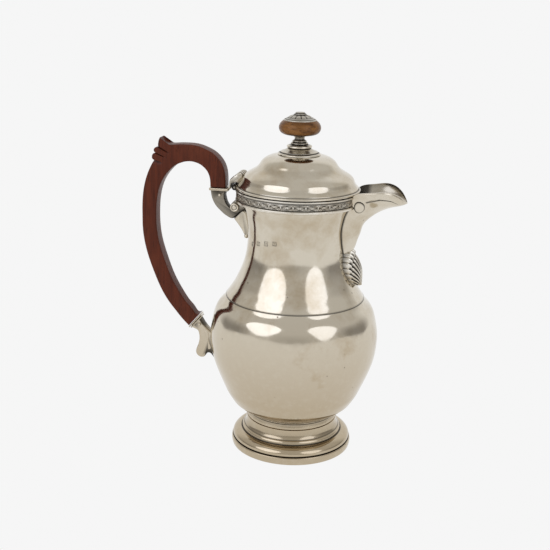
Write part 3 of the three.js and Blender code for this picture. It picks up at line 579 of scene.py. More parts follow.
# %% [markdown]
# ## Foot
# The foot is a spreading ring of three soldered parts: a heavy wire that
# stands on the table, a moulded skirt, and a reeded collar under the bowl.
# Each is a profile turned round the axis. The skirt has a round moulding, a
# groove, then two soft steps up to the collar; the grooves hold black oxide.
#
# %% Foot wire
foot_radius = span("foot_wire")[1][1]
wire_top = span("foot_wire")[1][2]
wire_profile = ease(
    [
        (foot_radius - 3.4, 0.0),
        (foot_radius - 0.5, 0.0),
        (foot_radius - 0.12, 1.6),
        (foot_radius, 3.2),
        (foot_radius - 0.25, wire_top - 0.35),
        (foot_radius - 1.0, wire_top),
        (foot_radius - 3.4, wire_top),
    ],
    0.6,
    5,
)
wire_dark = np.clip((wire_profile[:, 1] - wire_top + 0.25) / 0.2, 0, 1)
turn_piece("foot_wire_ring", wire_profile, ["foot_wire"], "silver", HANDLED, hollow_and_painted_shade=wire_dark)

# %% Foot skirt
skirt_top = span("foot_skirt")[1][2]
roll = spline(
    [(-1.9, 0.25), (-1.15, 0.6), (-0.95, 1.8), (-1.6, 3.5), (-3.4, 5.1), (-5.6, 5.95), (-7.0, 6.05)],
    34,
)
steps = spline([(-7.3, 6.7), (-7.35, 7.3), (-7.9, 8.3), (-8.75, 9.0)], 14)
flare_rise = skirt_top - wire_top
flare = spline([(-8.9, 9.35), (-9.5, 10.6), (-10.05, 12.6), (-10.3, 14.8), (-10.35, flare_rise)], 22)
skirt_side = np.vstack([[(-1.9, 0.0)], roll, [(-7.15, 6.2)], steps, flare]) + [foot_radius, wire_top]
skirt_inside = [
    (foot_radius - 11.6, skirt_top),
    (foot_radius - 11.2, wire_top + 10),
    (foot_radius - 9.4, wire_top + 5.4),
    (foot_radius - 5.0, wire_top + 4.2),
    (foot_radius - 3.3, wire_top),
]
skirt_profile = np.vstack([skirt_side, spline(skirt_inside, 24)])
skirt_dark = hollows(skirt_profile, 0.42, 0.7)
skirt_dark = np.maximum(skirt_dark, np.clip(1 - (skirt_profile[:, 1] - wire_top) / 0.55, 0, 1))
turn_piece("foot_skirt_moulding", skirt_profile, ["foot_skirt"], "silver", POLISHED, hollow_and_painted_shade=skirt_dark)

# %% Foot collar
collar_radius = span("foot_collar")[1][1]
reed = np.linspace(-0.5 * np.pi, 0.5 * np.pi, 14)


def reed_profile(count, top, bottom, radius, bulge):
    """Half circles stacked up a wall: radius plus bulge times the cosine, heights by the sine."""
    level = np.linspace(bottom, top, count + 1)
    middle, half = (level[1:] + level[:-1]) / 2, (level[1:] - level[:-1]) / 2
    r = np.broadcast_to(radius + bulge * np.cos(reed), (count, len(reed)))
    z = middle[:, None] + half[:, None] * np.sin(reed)
    return np.stack([r.reshape(-1), z.reshape(-1)], axis=1)


thin_z = FOOT_TOP - 1.9
thin = reed_profile(2, FOOT_TOP, thin_z, collar_radius - 0.5, 0.5)
broad = spline(
    [
        (collar_radius - 0.75, skirt_top),
        (collar_radius - 0.25, skirt_top + 0.5),
        (collar_radius - 0.15, skirt_top + 1.4),
        (collar_radius - 0.55, skirt_top + 3.0),
        (collar_radius - 0.6, thin_z - 0.1),
    ],
    22,
)
collar_profile = np.vstack([
    broad,
    thin,
    [(collar_radius - 4.0, FOOT_TOP), (collar_radius - 3.0, skirt_top)],
])
turn_piece("reeded_collar", collar_profile, ["foot_collar"], "relief_silver", RELIEF)

# %% [markdown]
# ## Bowl
# The bowl was raised with a hammer from one flat sheet, so its side is one
# smooth curve from the narrow bottom, over the belly, to the shoulder. A
# spline through a few radii gives a curve whose bend changes evenly; any kink
# would show at once as a broken reflection. Its wall is the same curve moved
# inwards by the thickness of the sheet.
#
# %% Bowl
SHEET = 1.2
bowl_side = [
    (31.0, 0.0), (34.6, 1.1), (38.2, 3.35), (41.2, 6.0), (43.2, 9.0), (45.0, 12.0), (47.7, 17.9),
    (50.3, 23.9), (52.7, 29.9), (54.7, 35.9), (56.0, 42.0), (56.7, 48.0), (56.88, 53.0),
    (56.55, 57.5), (55.6, 63.0), (54.1, 69.0), (52.6, 72.6), (50.5, 75.4), (48.1, 78.0), (46.5, 80.3),
]
bowl_outside = spline(bowl_side, 150) + [0.0, FOOT_TOP]
bowl_outside[:, 1] = np.minimum(bowl_outside[:, 1], SHOULDER_Z)
bowl_outside[:, 0] = np.minimum(bowl_outside[:, 0], BOWL_RADIUS - 0.01)
bowl_inside = offset(bowl_outside, -SHEET)[::-1]
bowl_inside[:, 1] = np.clip(bowl_inside[:, 1], FOOT_TOP + SHEET, SHOULDER_Z)
bowl_profile = np.vstack([
    [(0.0, FOOT_TOP)],
    [(30.6, FOOT_TOP)],
    bowl_outside,
    bowl_inside,
    [(29.0, FOOT_TOP + SHEET)],
    [(0.0, FOOT_TOP + SHEET)],
])
bowl_dark = np.clip((bowl_profile[:, 1] - SHOULDER_Z + 0.5) / 0.4, 0, 1)
bowl_dark = np.maximum(bowl_dark, np.clip((FOOT_TOP + 0.7 - bowl_profile[:, 1]) / 0.5, 0, 1))
BOWL_SEGMENTS = 240
bowl_grid = turned_points(bowl_profile, BOWL_SEGMENTS)
# painted shade: the bowl is darkened along both sides of the lower socket, where it meets the bowl
beside = np.abs(np.abs(bowl_grid[..., 1]) - 3.6)
socket_painted_shade = np.clip(1.2 - beside / 0.5, 0, 1) * (bowl_grid[..., 0] < 0) * (bowl_grid[..., 2] > 57.5)
socket_painted_shade = socket_painted_shade * np.clip((78.5 - bowl_grid[..., 2]) / 2, 0, 1)
bowl_dark = np.maximum(bowl_dark[None], 0.8 * socket_painted_shade)
turn_piece("raised_bowl", bowl_profile, ["bowl"], "silver", POLISHED, BOWL_SEGMENTS, bowl_dark, closed=False)

# %% [markdown]
# ## Spout form
# The spout is a beak folded from sheet. Its sections are half ellipses: each
# has a keel point, a rim height, a rim distance and a half width, and all five
# run smoothly along the spout. The same formula gives the outside, the inside
# and anything that lies on it, because the last value lifts the point off the
# surface.
#
# %% Neck radius and spout form
neck_side = [
    (46.35, 0.55), (45.6, 1.6), (43.7, 4.5), (41.1, 8.6), (39.1, 12.7), (37.25, 16.8), (35.7, 20.8),
    (34.45, 24.8), (33.55, 28.9), (32.95, 33.0), (32.55, 38.2), (32.6, 44.2), (33.25, 49.8),
    (34.3, 54.4), (35.75, 59.1), (37.6, 62.9), (38.1, 63.9),
]
neck_outside = np.vstack([
    [(46.55, 0.0)],
    [(46.55, 0.35)],
    spline(neck_side, 120),
    [(38.2, 64.4)],
    np.stack([np.full(12, NECK_TOP), np.linspace(64.9, MOUTH_Z - SHOULDER_Z, 12)], axis=1),
]) + [0.0, SHOULDER_Z]


def neck_radius(z):
    """Radius of the neck's outside at a height."""
    return np.interp(z, neck_outside[:, 1], neck_outside[:, 0])


def reach(share):
    """Distance from the axis, by share of the way from the band to the tip."""
    return BAND_RADIUS + share * (SPOUT_REACH - BAND_RADIUS)


SPOUT_DROP = 0.69 * NECK_HEIGHT
SPOUT_HALF = 16.8
keel_x = [NECK_WAIST + 0.4, NECK_WAIST + 4, NECK_WAIST + 6.4, NECK_WAIST + 8.2, NECK_WAIST + 10.0]
keel_x += [reach(s) for s in (0.09, 0.22, 0.365, 0.51, 0.66, 0.805, 0.92, 1.0)]
keel_z = np.array([1, 0.925, 0.84, 0.712, 0.592, 0.472, 0.365, 0.284, 0.225, 0.181, 0.156, 0.134, 0.108])
half_width = np.array([0.2, 0.36, 0.45, 0.56, 0.675, 0.755, 0.83, 0.905, 0.99, 1, 0.83, 0.53, 0.15])
rim_z = np.array([1.014, 0.94, 0.85, 0.692, 0.522, 0.347, 0.177, 0, 0, 0, 0, 0, 0]) * -SPOUT_DROP
rim_z[7:] = [1.2, 3.6, 4.6, 3.6, 0.2, -3.9]
buried = neck_radius(np.minimum(rim_z, 0) + MOUTH_Z) - 1.0
rim_x = np.sqrt(buried**2 - (half_width * SPOUT_HALF) ** 2)
rim_x[7:] = [BAND_RADIUS - 2.4, reach(0.24), reach(0.5), reach(0.71), reach(0.88), SPOUT_REACH - 0.4]
spout_table = np.column_stack([keel_x, -keel_z * SPOUT_DROP, half_width * SPOUT_HALF, rim_x, rim_z])
SPOUT_ROWS = 1200
spout_fine = spline(spout_table, SPOUT_ROWS)
spout_knots = np.concatenate([[0.0], np.cumsum(np.linalg.norm(np.diff(spout_table, axis=0), axis=1))])
spout_at = np.interp(np.linspace(0, spout_knots[-1], SPOUT_ROWS), spout_knots, np.arange(13))


def spout_point(at, angle, lift):
    """rim + (keel - rim) cos(angle) + half width sin(angle) across; lift lengthens both by as many mm."""
    at, angle, lift = np.broadcast_arrays(at, angle, lift)
    kx, kz, half, rx, rz = [np.interp(at, spout_at, spout_fine[:, k]) for k in range(5)]
    dx, dz = kx - rx, kz - rz
    depth = np.hypot(dx, dz)
    longer = np.maximum(depth + lift, 0.25) / depth
    wide = np.maximum(half + lift, 0.25)
    x = rx + dx * longer * np.cos(angle)
    z = MOUTH_Z + rz + dz * longer * np.cos(angle)
    return np.stack([x, wide * np.sin(angle), z], axis=-1)


print("spout from", np.round(spout_point(0.0, 0.0, 0.0), 1), "to", np.round(spout_point(12.0, 0.0, 0.0), 1))

# %% [markdown]
# ## Spout
# The sheet's outside and inside come from the spout form, with a rounded rim
# between them. Where it meets the neck, its points are near the neck's radius,
# and the joint there has never been wiped clean, so it is dark.
#
# %% Spout
WALL = 1.1
OUT, IN = 97, 65
half_turn = np.linspace(-0.5 * np.pi, 0.5 * np.pi, OUT)
inside_turn = np.linspace(0.5 * np.pi, -0.5 * np.pi, IN)
spout_rows = np.concatenate([np.linspace(0, 7, 90), np.linspace(7, 12, 120)[1:]])[:, None]
spout_turn = np.concatenate([half_turn, inside_turn])[None]
spout_lift = np.repeat([0.0, -WALL], [OUT, IN])[None]
spout_grid = spout_point(spout_rows, spout_turn, spout_lift)
spout_away = np.hypot(spout_grid[..., 0], spout_grid[..., 1]) - neck_radius(spout_grid[..., 2])
spout_dark = np.clip(1.3 - np.abs(spout_away) / 0.75, 0, 0.9) * (spout_grid[..., 2] < BAND_Z + 1.0)
# painted shadow: the inside of the spout is darkened all over, and more towards the mouth under the lid
mouth_painted_shadow = np.clip((BAND_RADIUS + 8.0 - spout_grid[:, OUT:, 0]) / 5.0, 0, 0.93)
spout_dark[:, OUT:] = np.maximum(0.34, mouth_painted_shadow)
LINE_AT = [7.2, 8.5, 9.6, 10.2, 10.8]
LINE_TURN = [1.17, 1.22, 1.08, 0.85, 0.6]


def border_turn(at):
    """Angle on the spout of the cut line below its rim."""
    return np.interp(at, LINE_AT, LINE_TURN)


keel_to_rim = spout_point(spout_rows, 0.0, 0.0) - spout_point(spout_rows, np.pi / 2, 0.0)
depth = np.hypot(keel_to_rim[..., 0], keel_to_rim[..., 2])
line_gap = (np.abs(half_turn)[None] - border_turn(spout_rows)) * depth
line = np.clip(1.5 - np.abs(line_gap + 0.35) / 0.42, 0, 1) * (spout_rows > 7.3) * (spout_rows < 10.8)
spout_dark[:, :OUT] = np.maximum(spout_dark[:, :OUT], line)
finish_grid(
    "beak_spout", with_ends(spout_grid), (False, True), ["spout"], "silver", POLISHED,
    with_end_shades(spout_dark), 50.0,
)

# %% [markdown]
# ## Spout edging
# A flat strip is soldered along each side of the spout's rim, down to a cut
# line, and thins towards the tip. Where it meets the band there is a small
# round boss with a dark line all round it. The strip is a bar carried along
# the spout form, and the boss is a low dome laid on the same form.
#
# %% Spout edging
BOSS_AT, BOSS_TURN, BOSS_RADIUS = 6.6, 1.16, 3.8
bar = np.linspace(0, 2 * np.pi, 40, endpoint=False)
bar_across = 0.5 + 0.5 * np.sign(np.cos(bar)) * np.abs(np.cos(bar)) ** 0.35
bar_lift = 0.8 * np.sign(np.sin(bar)) * np.abs(np.sin(bar)) ** 0.5
strip_at = np.linspace(7.7, 11.65, 130)[:, None]
strip_low = border_turn(strip_at) + 0.03
strip_high = np.full_like(strip_low, np.pi / 2 - 0.012)
boss_round = np.linspace(0, 2 * np.pi, 60, endpoint=False)[:, None]
boss_out = np.array([0, 0.25, 0.5, 0.7, 0.84, 0.93, 0.98, 1.0, 1.0, 0.9, 0.5, 0.0])[None]
boss_up = np.array([0.95, 0.93, 0.87, 0.78, 0.68, 0.55, 0.38, 0.1, -0.5, -0.7, -0.7, -0.7])[None]


def along_spout(at, turn):
    """Millimetres per step of at, and per radian of turn, at one place on the spout form."""
    one = spout_point(np.array([at - 0.05, at + 0.05]), turn, 0.0)
    two = spout_point(at, np.array([turn - 0.05, turn + 0.05]), 0.0)
    return np.linalg.norm(one[1] - one[0]) / 0.1, np.linalg.norm(two[1] - two[0]) / 0.1


def edging(name, side, node):
    """The strip's bar section along the rim, and the boss beside it, in one mesh."""
    turn = strip_low + (strip_high - strip_low) * bar_across[None]
    strip = spout_point(strip_at, side * turn, bar_lift[None] * np.clip((11.9 - strip_at) / 1.2, 0.25, 1))
    strip = with_ends(strip)
    per_at, per_turn = along_spout(BOSS_AT, BOSS_TURN)
    at = BOSS_AT + BOSS_RADIUS * boss_out * np.cos(boss_round) / per_at
    around = BOSS_TURN + BOSS_RADIUS * boss_out * np.sin(boss_round) / per_turn
    boss = spout_point(at, side * around, boss_up)
    points = np.concatenate([strip.reshape(-1, 3), boss.reshape(-1, 3)])
    start = strip.shape[0] * strip.shape[1]
    boss_faces = (np.array(grid_faces(*boss.shape[:2], True, False)) + start).tolist()
    # painted shadow: the lower side of the strip is darkened along the cut line below it
    edge = np.clip(1 - (bar_lift + 0.25) / 0.3, 0, 1) * (bar_across < 0.5)
    shade = np.concatenate([
        np.broadcast_to(edge, strip.shape[:2]).reshape(-1),
        np.broadcast_to(np.clip((boss_out - 0.8) / 0.1, 0, 1), boss.shape[:2]).reshape(-1),
    ])
    faces = grid_faces(*strip.shape[:2], False, True) + boss_faces
    finish_piece(name, points, faces, [node], HANDLED, shade)


edging("spout_edging_left", 1, "spout_border_left")
edging("spout_edging_right", -1, "spout_border_right")

# %% [markdown]
# ## Neck
# The neck is waisted, and open towards the spout so that coffee can reach it.
# A hole cut afterwards would leave ragged triangles in a mirror, so the hole
# is part of the formula instead: at each height the turn round the axis starts
# at the hole's edge and stops at its other edge. Below the hole both edges
# meet, and the skin closes. Four blank punches on the side stand for the row
# of small marks that silver carries.
#
# %% Neck
hole_level = np.array([SHOULDER_Z, 140.5, 141.5, 144, 149, 156, 164, 172, MOUTH_Z + 1])
hole_half = np.array([0.0, 0.0, 1.8, 3.8, 6.2, 8.8, 10.8, 12.0, 12.6])
neck_inside = offset(neck_outside, -SHEET)
neck_inside[:, 1] = np.clip(neck_inside[:, 1], SHOULDER_Z, MOUTH_Z)
neck_inside[:2, 0] = neck_outside[:2, 0] - SHEET
neck_inside[-1] = neck_outside[-1] - [SHEET, 0]
neck_loop = np.vstack([neck_outside, neck_inside[::-1]])
levels = np.concatenate([neck_outside[:, 1], neck_outside[::-1, 1]])
radii = np.concatenate([neck_outside[:, 0], neck_outside[::-1, 0]])
hole_angle = np.arcsin(np.interp(levels, hole_level, hole_half) / radii)
way = np.linspace(0, 1, 340)[:, None]
angle = hole_angle[None] + way * (2 * np.pi - 2 * hole_angle[None])
neck_r, neck_z = neck_loop[None, :, 0], neck_loop[None, :, 1]
neck_grid = np.stack([neck_r * np.cos(angle), neck_r * np.sin(angle), neck_z + 0 * angle], axis=-1)
neck_faces = grid_faces(*neck_grid.shape[:2], False, True)
count = len(neck_outside)
cut = np.arange(count - 1)
cut = cut[(hole_angle[:count][cut + 1] > 0)]
for row in (0, len(way) - 1):
    base = row * 2 * count
    other = 2 * count - 1
    wall = np.stack([base + cut, base + cut + 1, base + other - cut - 1, base + other - cut], axis=1)
    neck_faces += wall.tolist()

# %% Dark joints and blank punches
joint_row = spout_grid[:, :OUT]
joint_gap = np.hypot(joint_row[..., 0], joint_row[..., 1]) - neck_radius(joint_row[..., 2])
on_joint = joint_row[(np.abs(joint_gap) < 0.35) & (joint_row[..., 2] < BAND_Z + 2)]
outside_grid = neck_grid[:, :count].reshape(-1, 3)
near_spout = (outside_grid[:, 0] > 20) & (outside_grid[:, 2] > 128)
gap = np.full(len(outside_grid), 99.0)
gap[near_spout] = np.concatenate([
    np.linalg.norm(part[:, None] - on_joint[None], axis=2).min(1)
    for part in np.array_split(outside_grid[near_spout], 24)
])
neck_dark = np.zeros(neck_grid.shape[:2])
neck_dark[:, :count] = np.clip(1 - (gap - 0.6) / 0.7, 0, 1).reshape(-1, count)
leaf_half = np.interp(neck_grid[..., 2], [144.4, 146.0, 158.0, 166.0], [0.0, 1.9, 3.4, 4.2])
# painted shade: the neck is darkened along both sides of the leaf below the upper socket
leaf_painted_shade = np.clip(1.2 - np.abs(np.abs(neck_grid[..., 1]) - leaf_half) / 0.5, 0, 1) * (neck_grid[..., 0] < -20)
neck_dark = np.maximum(neck_dark, 0.85 * leaf_painted_shade * (neck_grid[..., 2] > 144.4) * (neck_grid[..., 2] < 167))
shoulder_line = np.clip(1 - (neck_loop[:, 1] - SHOULDER_Z - 0.15) / 0.6, 0, 1)
neck_dark = np.maximum(neck_dark, shoulder_line[None])
PUNCHES = [(-141.5, 145.4), (-129.7, 147.2), (-117.5, 148.6), (-106.1, 149.6)]
RADIUS_THERE = 32.6
for degrees, level in PUNCHES:
    sideways = (angle[:, :count] - math.radians(degrees % 360)) * RADIUS_THERE
    upwards = neck_grid[:, :count, 2] - level
    edge = np.maximum(np.abs(sideways) - 1.25, np.abs(upwards) - 1.2)
    frame_line = np.clip(1 - np.abs(edge) / 0.42, 0, 1)
    centre = np.clip(1 - np.hypot(sideways, upwards) / 0.7, 0, 1)
    neck_dark[:, :count] = np.maximum(neck_dark[:, :count], np.maximum(0.85 * frame_line, centre))
    sunk = np.clip(-edge / 0.3, 0, 1) * 0.08 / RADIUS_THERE
    neck_grid[:, :count, :2] *= (1 - sunk)[..., None]
neck_points, neck_shade = neck_grid.reshape(-1, 3), neck_dark.reshape(-1)
finish_piece("waisted_neck", neck_points, neck_faces, ["neck"], POLISHED, neck_shade)

# %% [markdown]
# ## Rim band
# A strip of stamped ornament runs round the mouth: a plain moulding below, a
# fine interlace of two wavy double cords with a bead in each loop, and a
# fillet above. The relief is a height worked out for every point of a fine
# grid: the distance to each cord's centre line gives its ridge. The ground
# between the cords is black.
#
# %% Rim band
LOOPS = 32
band_end = 0.312
band_columns = 1300
level = np.concatenate([
    np.linspace(0, 2.1, 9),
    np.linspace(2.25, 6.35, 27),
    np.linspace(6.5, MOUTH_Z - BAND_Z, 9),
])
foot_round = -0.9 * np.clip(1 - level / 0.45, 0, 1) ** 2
plain = foot_round - 0.75 * np.clip((level - 1.75) / 0.3, 0, 1)
groove_top = np.clip((level - 6.9) / 0.25, 0, 1)
upper_part = -0.95 + 0.95 * groove_top - 0.35 * np.clip((level - 8.0) / 0.3, 0, 1) ** 2
base_in = np.where(level < 2.2, plain, upper_part)
band_angle = np.linspace(band_end, 2 * np.pi - band_end, band_columns)[:, None]
mid = 4.3
swing = 1.05


def cord(sign):
    """Height of one wavy double cord: two ridges either side of z = mid + sign * swing * sin(16 a)."""
    wave = mid + sign * swing * np.sin(0.5 * LOOPS * band_angle)
    slope = swing * 0.5 * LOOPS / BAND_RADIUS * np.cos(0.5 * LOOPS * band_angle)
    away = np.abs(level[None] - wave) / np.sqrt(1 + slope**2)
    return np.exp(-(((away - 0.34) / 0.23) ** 2))


loop_phase = np.mod(0.5 * LOOPS * band_angle / np.pi - 0.5 + 0.5, 1.0) - 0.5
bead_away = np.hypot(loop_phase * np.pi * BAND_RADIUS / (0.5 * LOOPS), level[None] - mid)
bead = np.sqrt(np.clip(1 - (bead_away / 0.62) ** 2, 0, 1))
edge_wire = np.exp(-(((level[None] - 2.75) / 0.22) ** 2)) + np.exp(-(((level[None] - 5.95) / 0.22) ** 2))
relief = np.maximum(np.maximum(cord(1), cord(-1)), np.maximum(0.9 * bead, 0.8 * edge_wire))
inside_relief = ((level > 2.3) & (level < 6.4))[None]
relief = relief * inside_relief
band_r = BAND_RADIUS - 0.02 + base_in[None] + 0.5 * relief
band_dark = np.where(inside_relief, 0.98 * (1 - relief) ** 1.1, 0.0)
band_dark = np.maximum(band_dark, np.exp(-(((level[None] - 2.15) / 0.22) ** 2)))
band_dark = np.maximum(band_dark, np.exp(-(((level[None] - 6.85) / 0.42) ** 2)))
# painted shade: the top edge of the band is darkened, for the dark seam under the lid's brim
band_dark = np.maximum(band_dark, 0.55 * np.clip((level[None] - 7.9) / 0.3, 0, 1))
back_level = np.array([MOUTH_Z, MOUTH_Z, BAND_Z])[None]
back_r = np.array([BAND_RADIUS - 1.6, NECK_TOP, NECK_TOP])[None]
all_r = np.concatenate([band_r, back_r + 0 * band_angle], axis=1)
all_z = np.concatenate([BAND_Z + level[None], back_level], axis=1) + 0 * band_angle
band_grid = np.stack([all_r * np.cos(band_angle), all_r * np.sin(band_angle), all_z], axis=-1)
# painted shade: the band's inside back wall, within the mouth, is dark
band_shade = np.concatenate([band_dark + 0 * band_angle, np.full((band_columns, 3), 0.9)], axis=1)
KNUCKLE = span("hinge_pin")[1][1] - 0.3
KNUCKLE_CLEAR = 2.3


def scoop(points):
    """Moves points beside the knuckles and nearer than clearance straight out from the hinge axis."""
    away = points[..., [0, 2]] - np.array([HINGE_X, HINGE_Z])
    far = np.linalg.norm(away, axis=-1, keepdims=True)
    inside = (far[..., 0] < KNUCKLE_CLEAR) & (np.abs(points[..., 1]) < KNUCKLE + 0.35)
    moved = points.copy()
    pushed = np.array([HINGE_X, HINGE_Z]) + away / np.maximum(far, 1e-6) * KNUCKLE_CLEAR
    moved[..., 0] = np.where(inside, pushed[..., 0], points[..., 0])
    moved[..., 2] = np.where(inside, pushed[..., 1], points[..., 2])
    return moved


band_grid = scoop(band_grid)
finish_grid(
    "interlaced_band", with_ends(band_grid), (False, True), ["rim_band"], "relief_silver", RELIEF,
    with_end_shades(band_shade), 60.0,
)

# %% [markdown]
# ## Shell under the spout
# A cast scallop shell covers the lower end of the spout's joint. Its ribs fan
# up from a knob at the bottom and curl over at the top. Each point is placed
# by how far along the rib it lies and which way the rib leans, and the ribs
# are a cosine across the fan.
#
# %% Shell
shell_low, shell_high = span("spout_shell")
SHELL_RIBS = 16
along = np.linspace(0.04, 1.0, 90)[:, None]
across = np.linspace(-1, 1, 321)[None]
rib_wave = np.abs(np.cos(across * SHELL_RIBS * np.pi / 2))
fan = across * 1.27 * (1 + 0.10 * (1 - along) * np.sign(1 - np.abs(across)))
shell_height = (shell_high[2] - shell_low[2]) * 0.985
longest = shell_height * (np.cos(across * 1.36) + 0.12 * np.sin(across * 1.36) ** 2)
scallop = 1 - 0.09 * (1 - rib_wave**0.6) * along**2
shell_y = 0.8 * longest * along * scallop * np.sin(fan)
shell_z = shell_low[2] + 0.4 + longest * along * scallop * np.cos(fan)
swell = np.sin(np.pi * (0.12 + 0.72 * along)) * (0.25 + 0.75 * np.cos(across * 1.5))
curl = np.exp(-(((along - 0.93) / 0.05) ** 2)) * rib_wave - 0.5 * np.exp(-(((along - 0.84) / 0.03) ** 2))
rib_relief = 1.2 * (rib_wave**0.7 - 1) * np.clip(along / 0.3, 0, 1) * np.clip((1.04 - along) / 0.1, 0.3, 1)
hub = 1.6 * np.exp(-((along / 0.14) ** 2)) * np.exp(-((across / 0.9) ** 2))
shell_x = np.sqrt(neck_radius(shell_z) ** 2 - shell_y**2) + 9.2 * swell + rib_relief + curl + hub
shell_x = np.minimum(shell_x, shell_high[0] - 0.02)
shell_top = np.stack([shell_x, shell_y, shell_z], axis=-1)
under_x = np.sqrt(neck_radius(shell_z) ** 2 - shell_y**2) - 0.9
shell_under = np.stack([under_x, shell_y, shell_z], axis=-1)[:, ::-1]
shell_grid = np.concatenate([shell_top, shell_under], axis=1)
groove = np.clip((0.90 - rib_wave) / 0.4, 0, 1) * np.clip((along - 0.1) / 0.08, 0, 1)
groove = groove * np.clip((0.98 - along) / 0.05, 0, 1)
groove = np.maximum(groove, 0.8 * np.exp(-(((along - 0.84) / 0.025) ** 2)) * (rib_wave < 0.9))
# painted shade: the shell's underside, against the neck, is dark
shell_shade = np.concatenate([groove, np.full_like(groove, 0.9)], axis=1)
strip_faces = grid_faces(shell_grid.shape[0], shell_grid.shape[1], False, True)
width = across.shape[1]
pair = np.arange(width - 1)
closing = []
for row in (0, shell_grid.shape[0] - 1):
    base = row * 2 * width
    partner = base + 2 * width - 1 - pair
    closing += np.stack([base + pair, base + pair + 1, partner - 1, partner], 1).tolist()
finish_piece(
    "scallop_shell", shell_grid.reshape(-1, 3), strip_faces + closing, ["spout_shell"],
    RELIEF,
    shell_shade.reshape(-1), 60.0,
)

# %% [markdown]
# ## Handle
# The handle is sawn to an outline from a board, then its edges are rounded
# over. Two smooth curves give the back and the inside of the grip, and each
# section is a rounded bar between a point of one and its partner on the other.
# At the top corner the back curve runs through three lobes of a scroll, and
# the notches between them run on across the side as carved grooves.
#
# %% Handle
back_runs = [
    [(-73.6, 79.4), (-76.2, 82.0), (-79.9, 86.1), (-83.5, 90.6), (-87.1, 95.2), (-92.7, 104.3),
     (-98.5, 118.0), (-103.1, 131.9), (-105.6, 146.0), (-105.9, 158.5), (-105.3, 170.5), (-103.1, 181.5),
     (-99.5, 190.4), (-97.5, 194.1)],
    [(-97.4, 194.4), (-98.5, 195.3), (-98.7, 196.9), (-98.0, 198.5), (-96.3, 199.3)],
    [(-96.3, 199.5), (-97.3, 200.4), (-97.3, 201.7), (-96.4, 202.8), (-94.4, 203.3)],
    [(-94.4, 203.5), (-94.4, 205.0), (-94.1, 206.8), (-93.7, 208.4), (-93.1, 209.6)],
    [(-93.1, 209.65), (-92.2, 207.9), (-91.0, 206.6), (-88.6, 205.7), (-85.3, 205.4), (-81.8, 205.7),
     (-74.9, 206.0), (-68.0, 205.5), (-61.1, 203.3), (-57.6, 201.6), (-54.2, 199.0), (-51.8, 196.3),
     (-49.3, 191.5), (-48.25, 186.0), (-48.1, 178.7)],
]
inside_runs = [
    [(-65.6, 88.9), (-67.5, 88.2), (-71.0, 91.8), (-74.5, 95.7), (-78.0, 100.5), (-85.3, 113.0),
     (-90.5, 126.2), (-94.5, 139.8), (-95.9, 151.0), (-96.0, 158.5), (-95.0, 170.3), (-92.5, 179.0),
     (-87.0, 187.5), (-83.5, 191.0)],
    [(-83.5, 191.0), (-80.0, 193.0)],
    [(-80.0, 193.0), (-76.5, 194.3)],
    [(-76.5, 194.3), (-73.0, 194.8), (-70.5, 194.75)],
    [(-70.5, 194.75), (-66.2, 193.6), (-63.3, 191.8), (-60.9, 189.3), (-59.3, 186.2), (-58.6, 183.0),
     (-58.4, 178.7)],
]
run_counts = [150, 16, 16, 16, 110]


def joined(runs):
    """Splines through each run, end to end, with a step kept at every notch."""
    counted = zip(runs, run_counts)
    runs_drawn = [spline(run, n) if len(run) > 2 else np.linspace(run[0], run[1], n) for run, n in counted]
    return np.concatenate(runs_drawn)


handle_back, handle_inside = joined(back_runs), joined(inside_runs)
handle_back[:, 0] = np.maximum(handle_back[:, 0], span("handle")[0][0] + 0.02)
HANDLE_HALF, HANDLE_EDGE = 5.45, 0.95
arc_turn = np.linspace(0, np.pi / 2, 9)
flat = np.linspace(0, 1, 18)[1:-1]
in_by, down_by = 1 - np.cos(arc_turn), HANDLE_EDGE * (np.sin(arc_turn) - 1)
share_edge = np.concatenate([in_by, 1 - 2 * flat, -in_by[::-1]])
share_length = np.concatenate([0 * arc_turn, flat, 0 * arc_turn + 1])
side_y = np.concatenate([down_by, 0 * flat, down_by[::-1]])
length = np.linalg.norm(handle_inside - handle_back, axis=1)[:, None]
place = share_edge[None] * HANDLE_EDGE / length + share_length[None]
CROWN = 0.28
crown = CROWN * (1 - (2 * place - 1) ** 2)
notch_rows = np.cumsum(run_counts)[:4]
row_number = np.arange(len(handle_back))
notch_away = np.abs(row_number[:, None] - notch_rows[None, :3] + 0.5).min(1)[:, None]
carve = np.exp(-((notch_away / 1.5) ** 2)) * np.clip((0.46 - place) / 0.2, 0, 1)
across_xz = handle_back[:, None] * (1 - place[..., None]) + handle_inside[:, None] * place[..., None]
narrowed = np.interp(across_xz[..., 1], [80, 95, 125], [0.72, 0.86, 1.0])
half = (HANDLE_HALF - CROWN + crown + side_y[None]) * narrowed - 1.1 * carve
front = np.stack([across_xz[..., 0], -half, across_xz[..., 1]], axis=-1)
rear = np.stack([across_xz[..., 0], half, across_xz[..., 1]], axis=-1)[:, ::-1]
handle_grid = np.concatenate([front, rear], axis=1)
handle_shade = np.concatenate([carve, carve[:, ::-1]], axis=1) * 0.8
finish_grid(
    "scroll_handle", with_ends(handle_grid), (False, True), ["handle"], "handle_wood", HANDLE_WOOD,
    with_end_shades(handle_shade), 48.0,
)

# %% [markdown]
# ## Handle sockets
# Each end of the grip sits in a cast silver socket with a thin collar. A
# casting like this is a flat shape with rounded edges, so a helper grows one
# from its outline: rings of the outline move inwards while they move out to
# the side, and each side is closed by one flat face.
#
# %% Cast shapes


def inward(outline):
    """Unit normals that point into a closed outline, from the tangent turned a quarter."""
    tangent = np.roll(outline, -1, 0) - np.roll(outline, 1, 0)
    tangent /= np.linalg.norm(tangent, axis=1)[:, None]
    normal = np.stack([-tangent[:, 1], tangent[:, 0]], axis=1)
    x, z = outline.T
    area = (x * np.roll(z, -1) - np.roll(x, -1) * z).sum()
    return normal * np.sign(area)


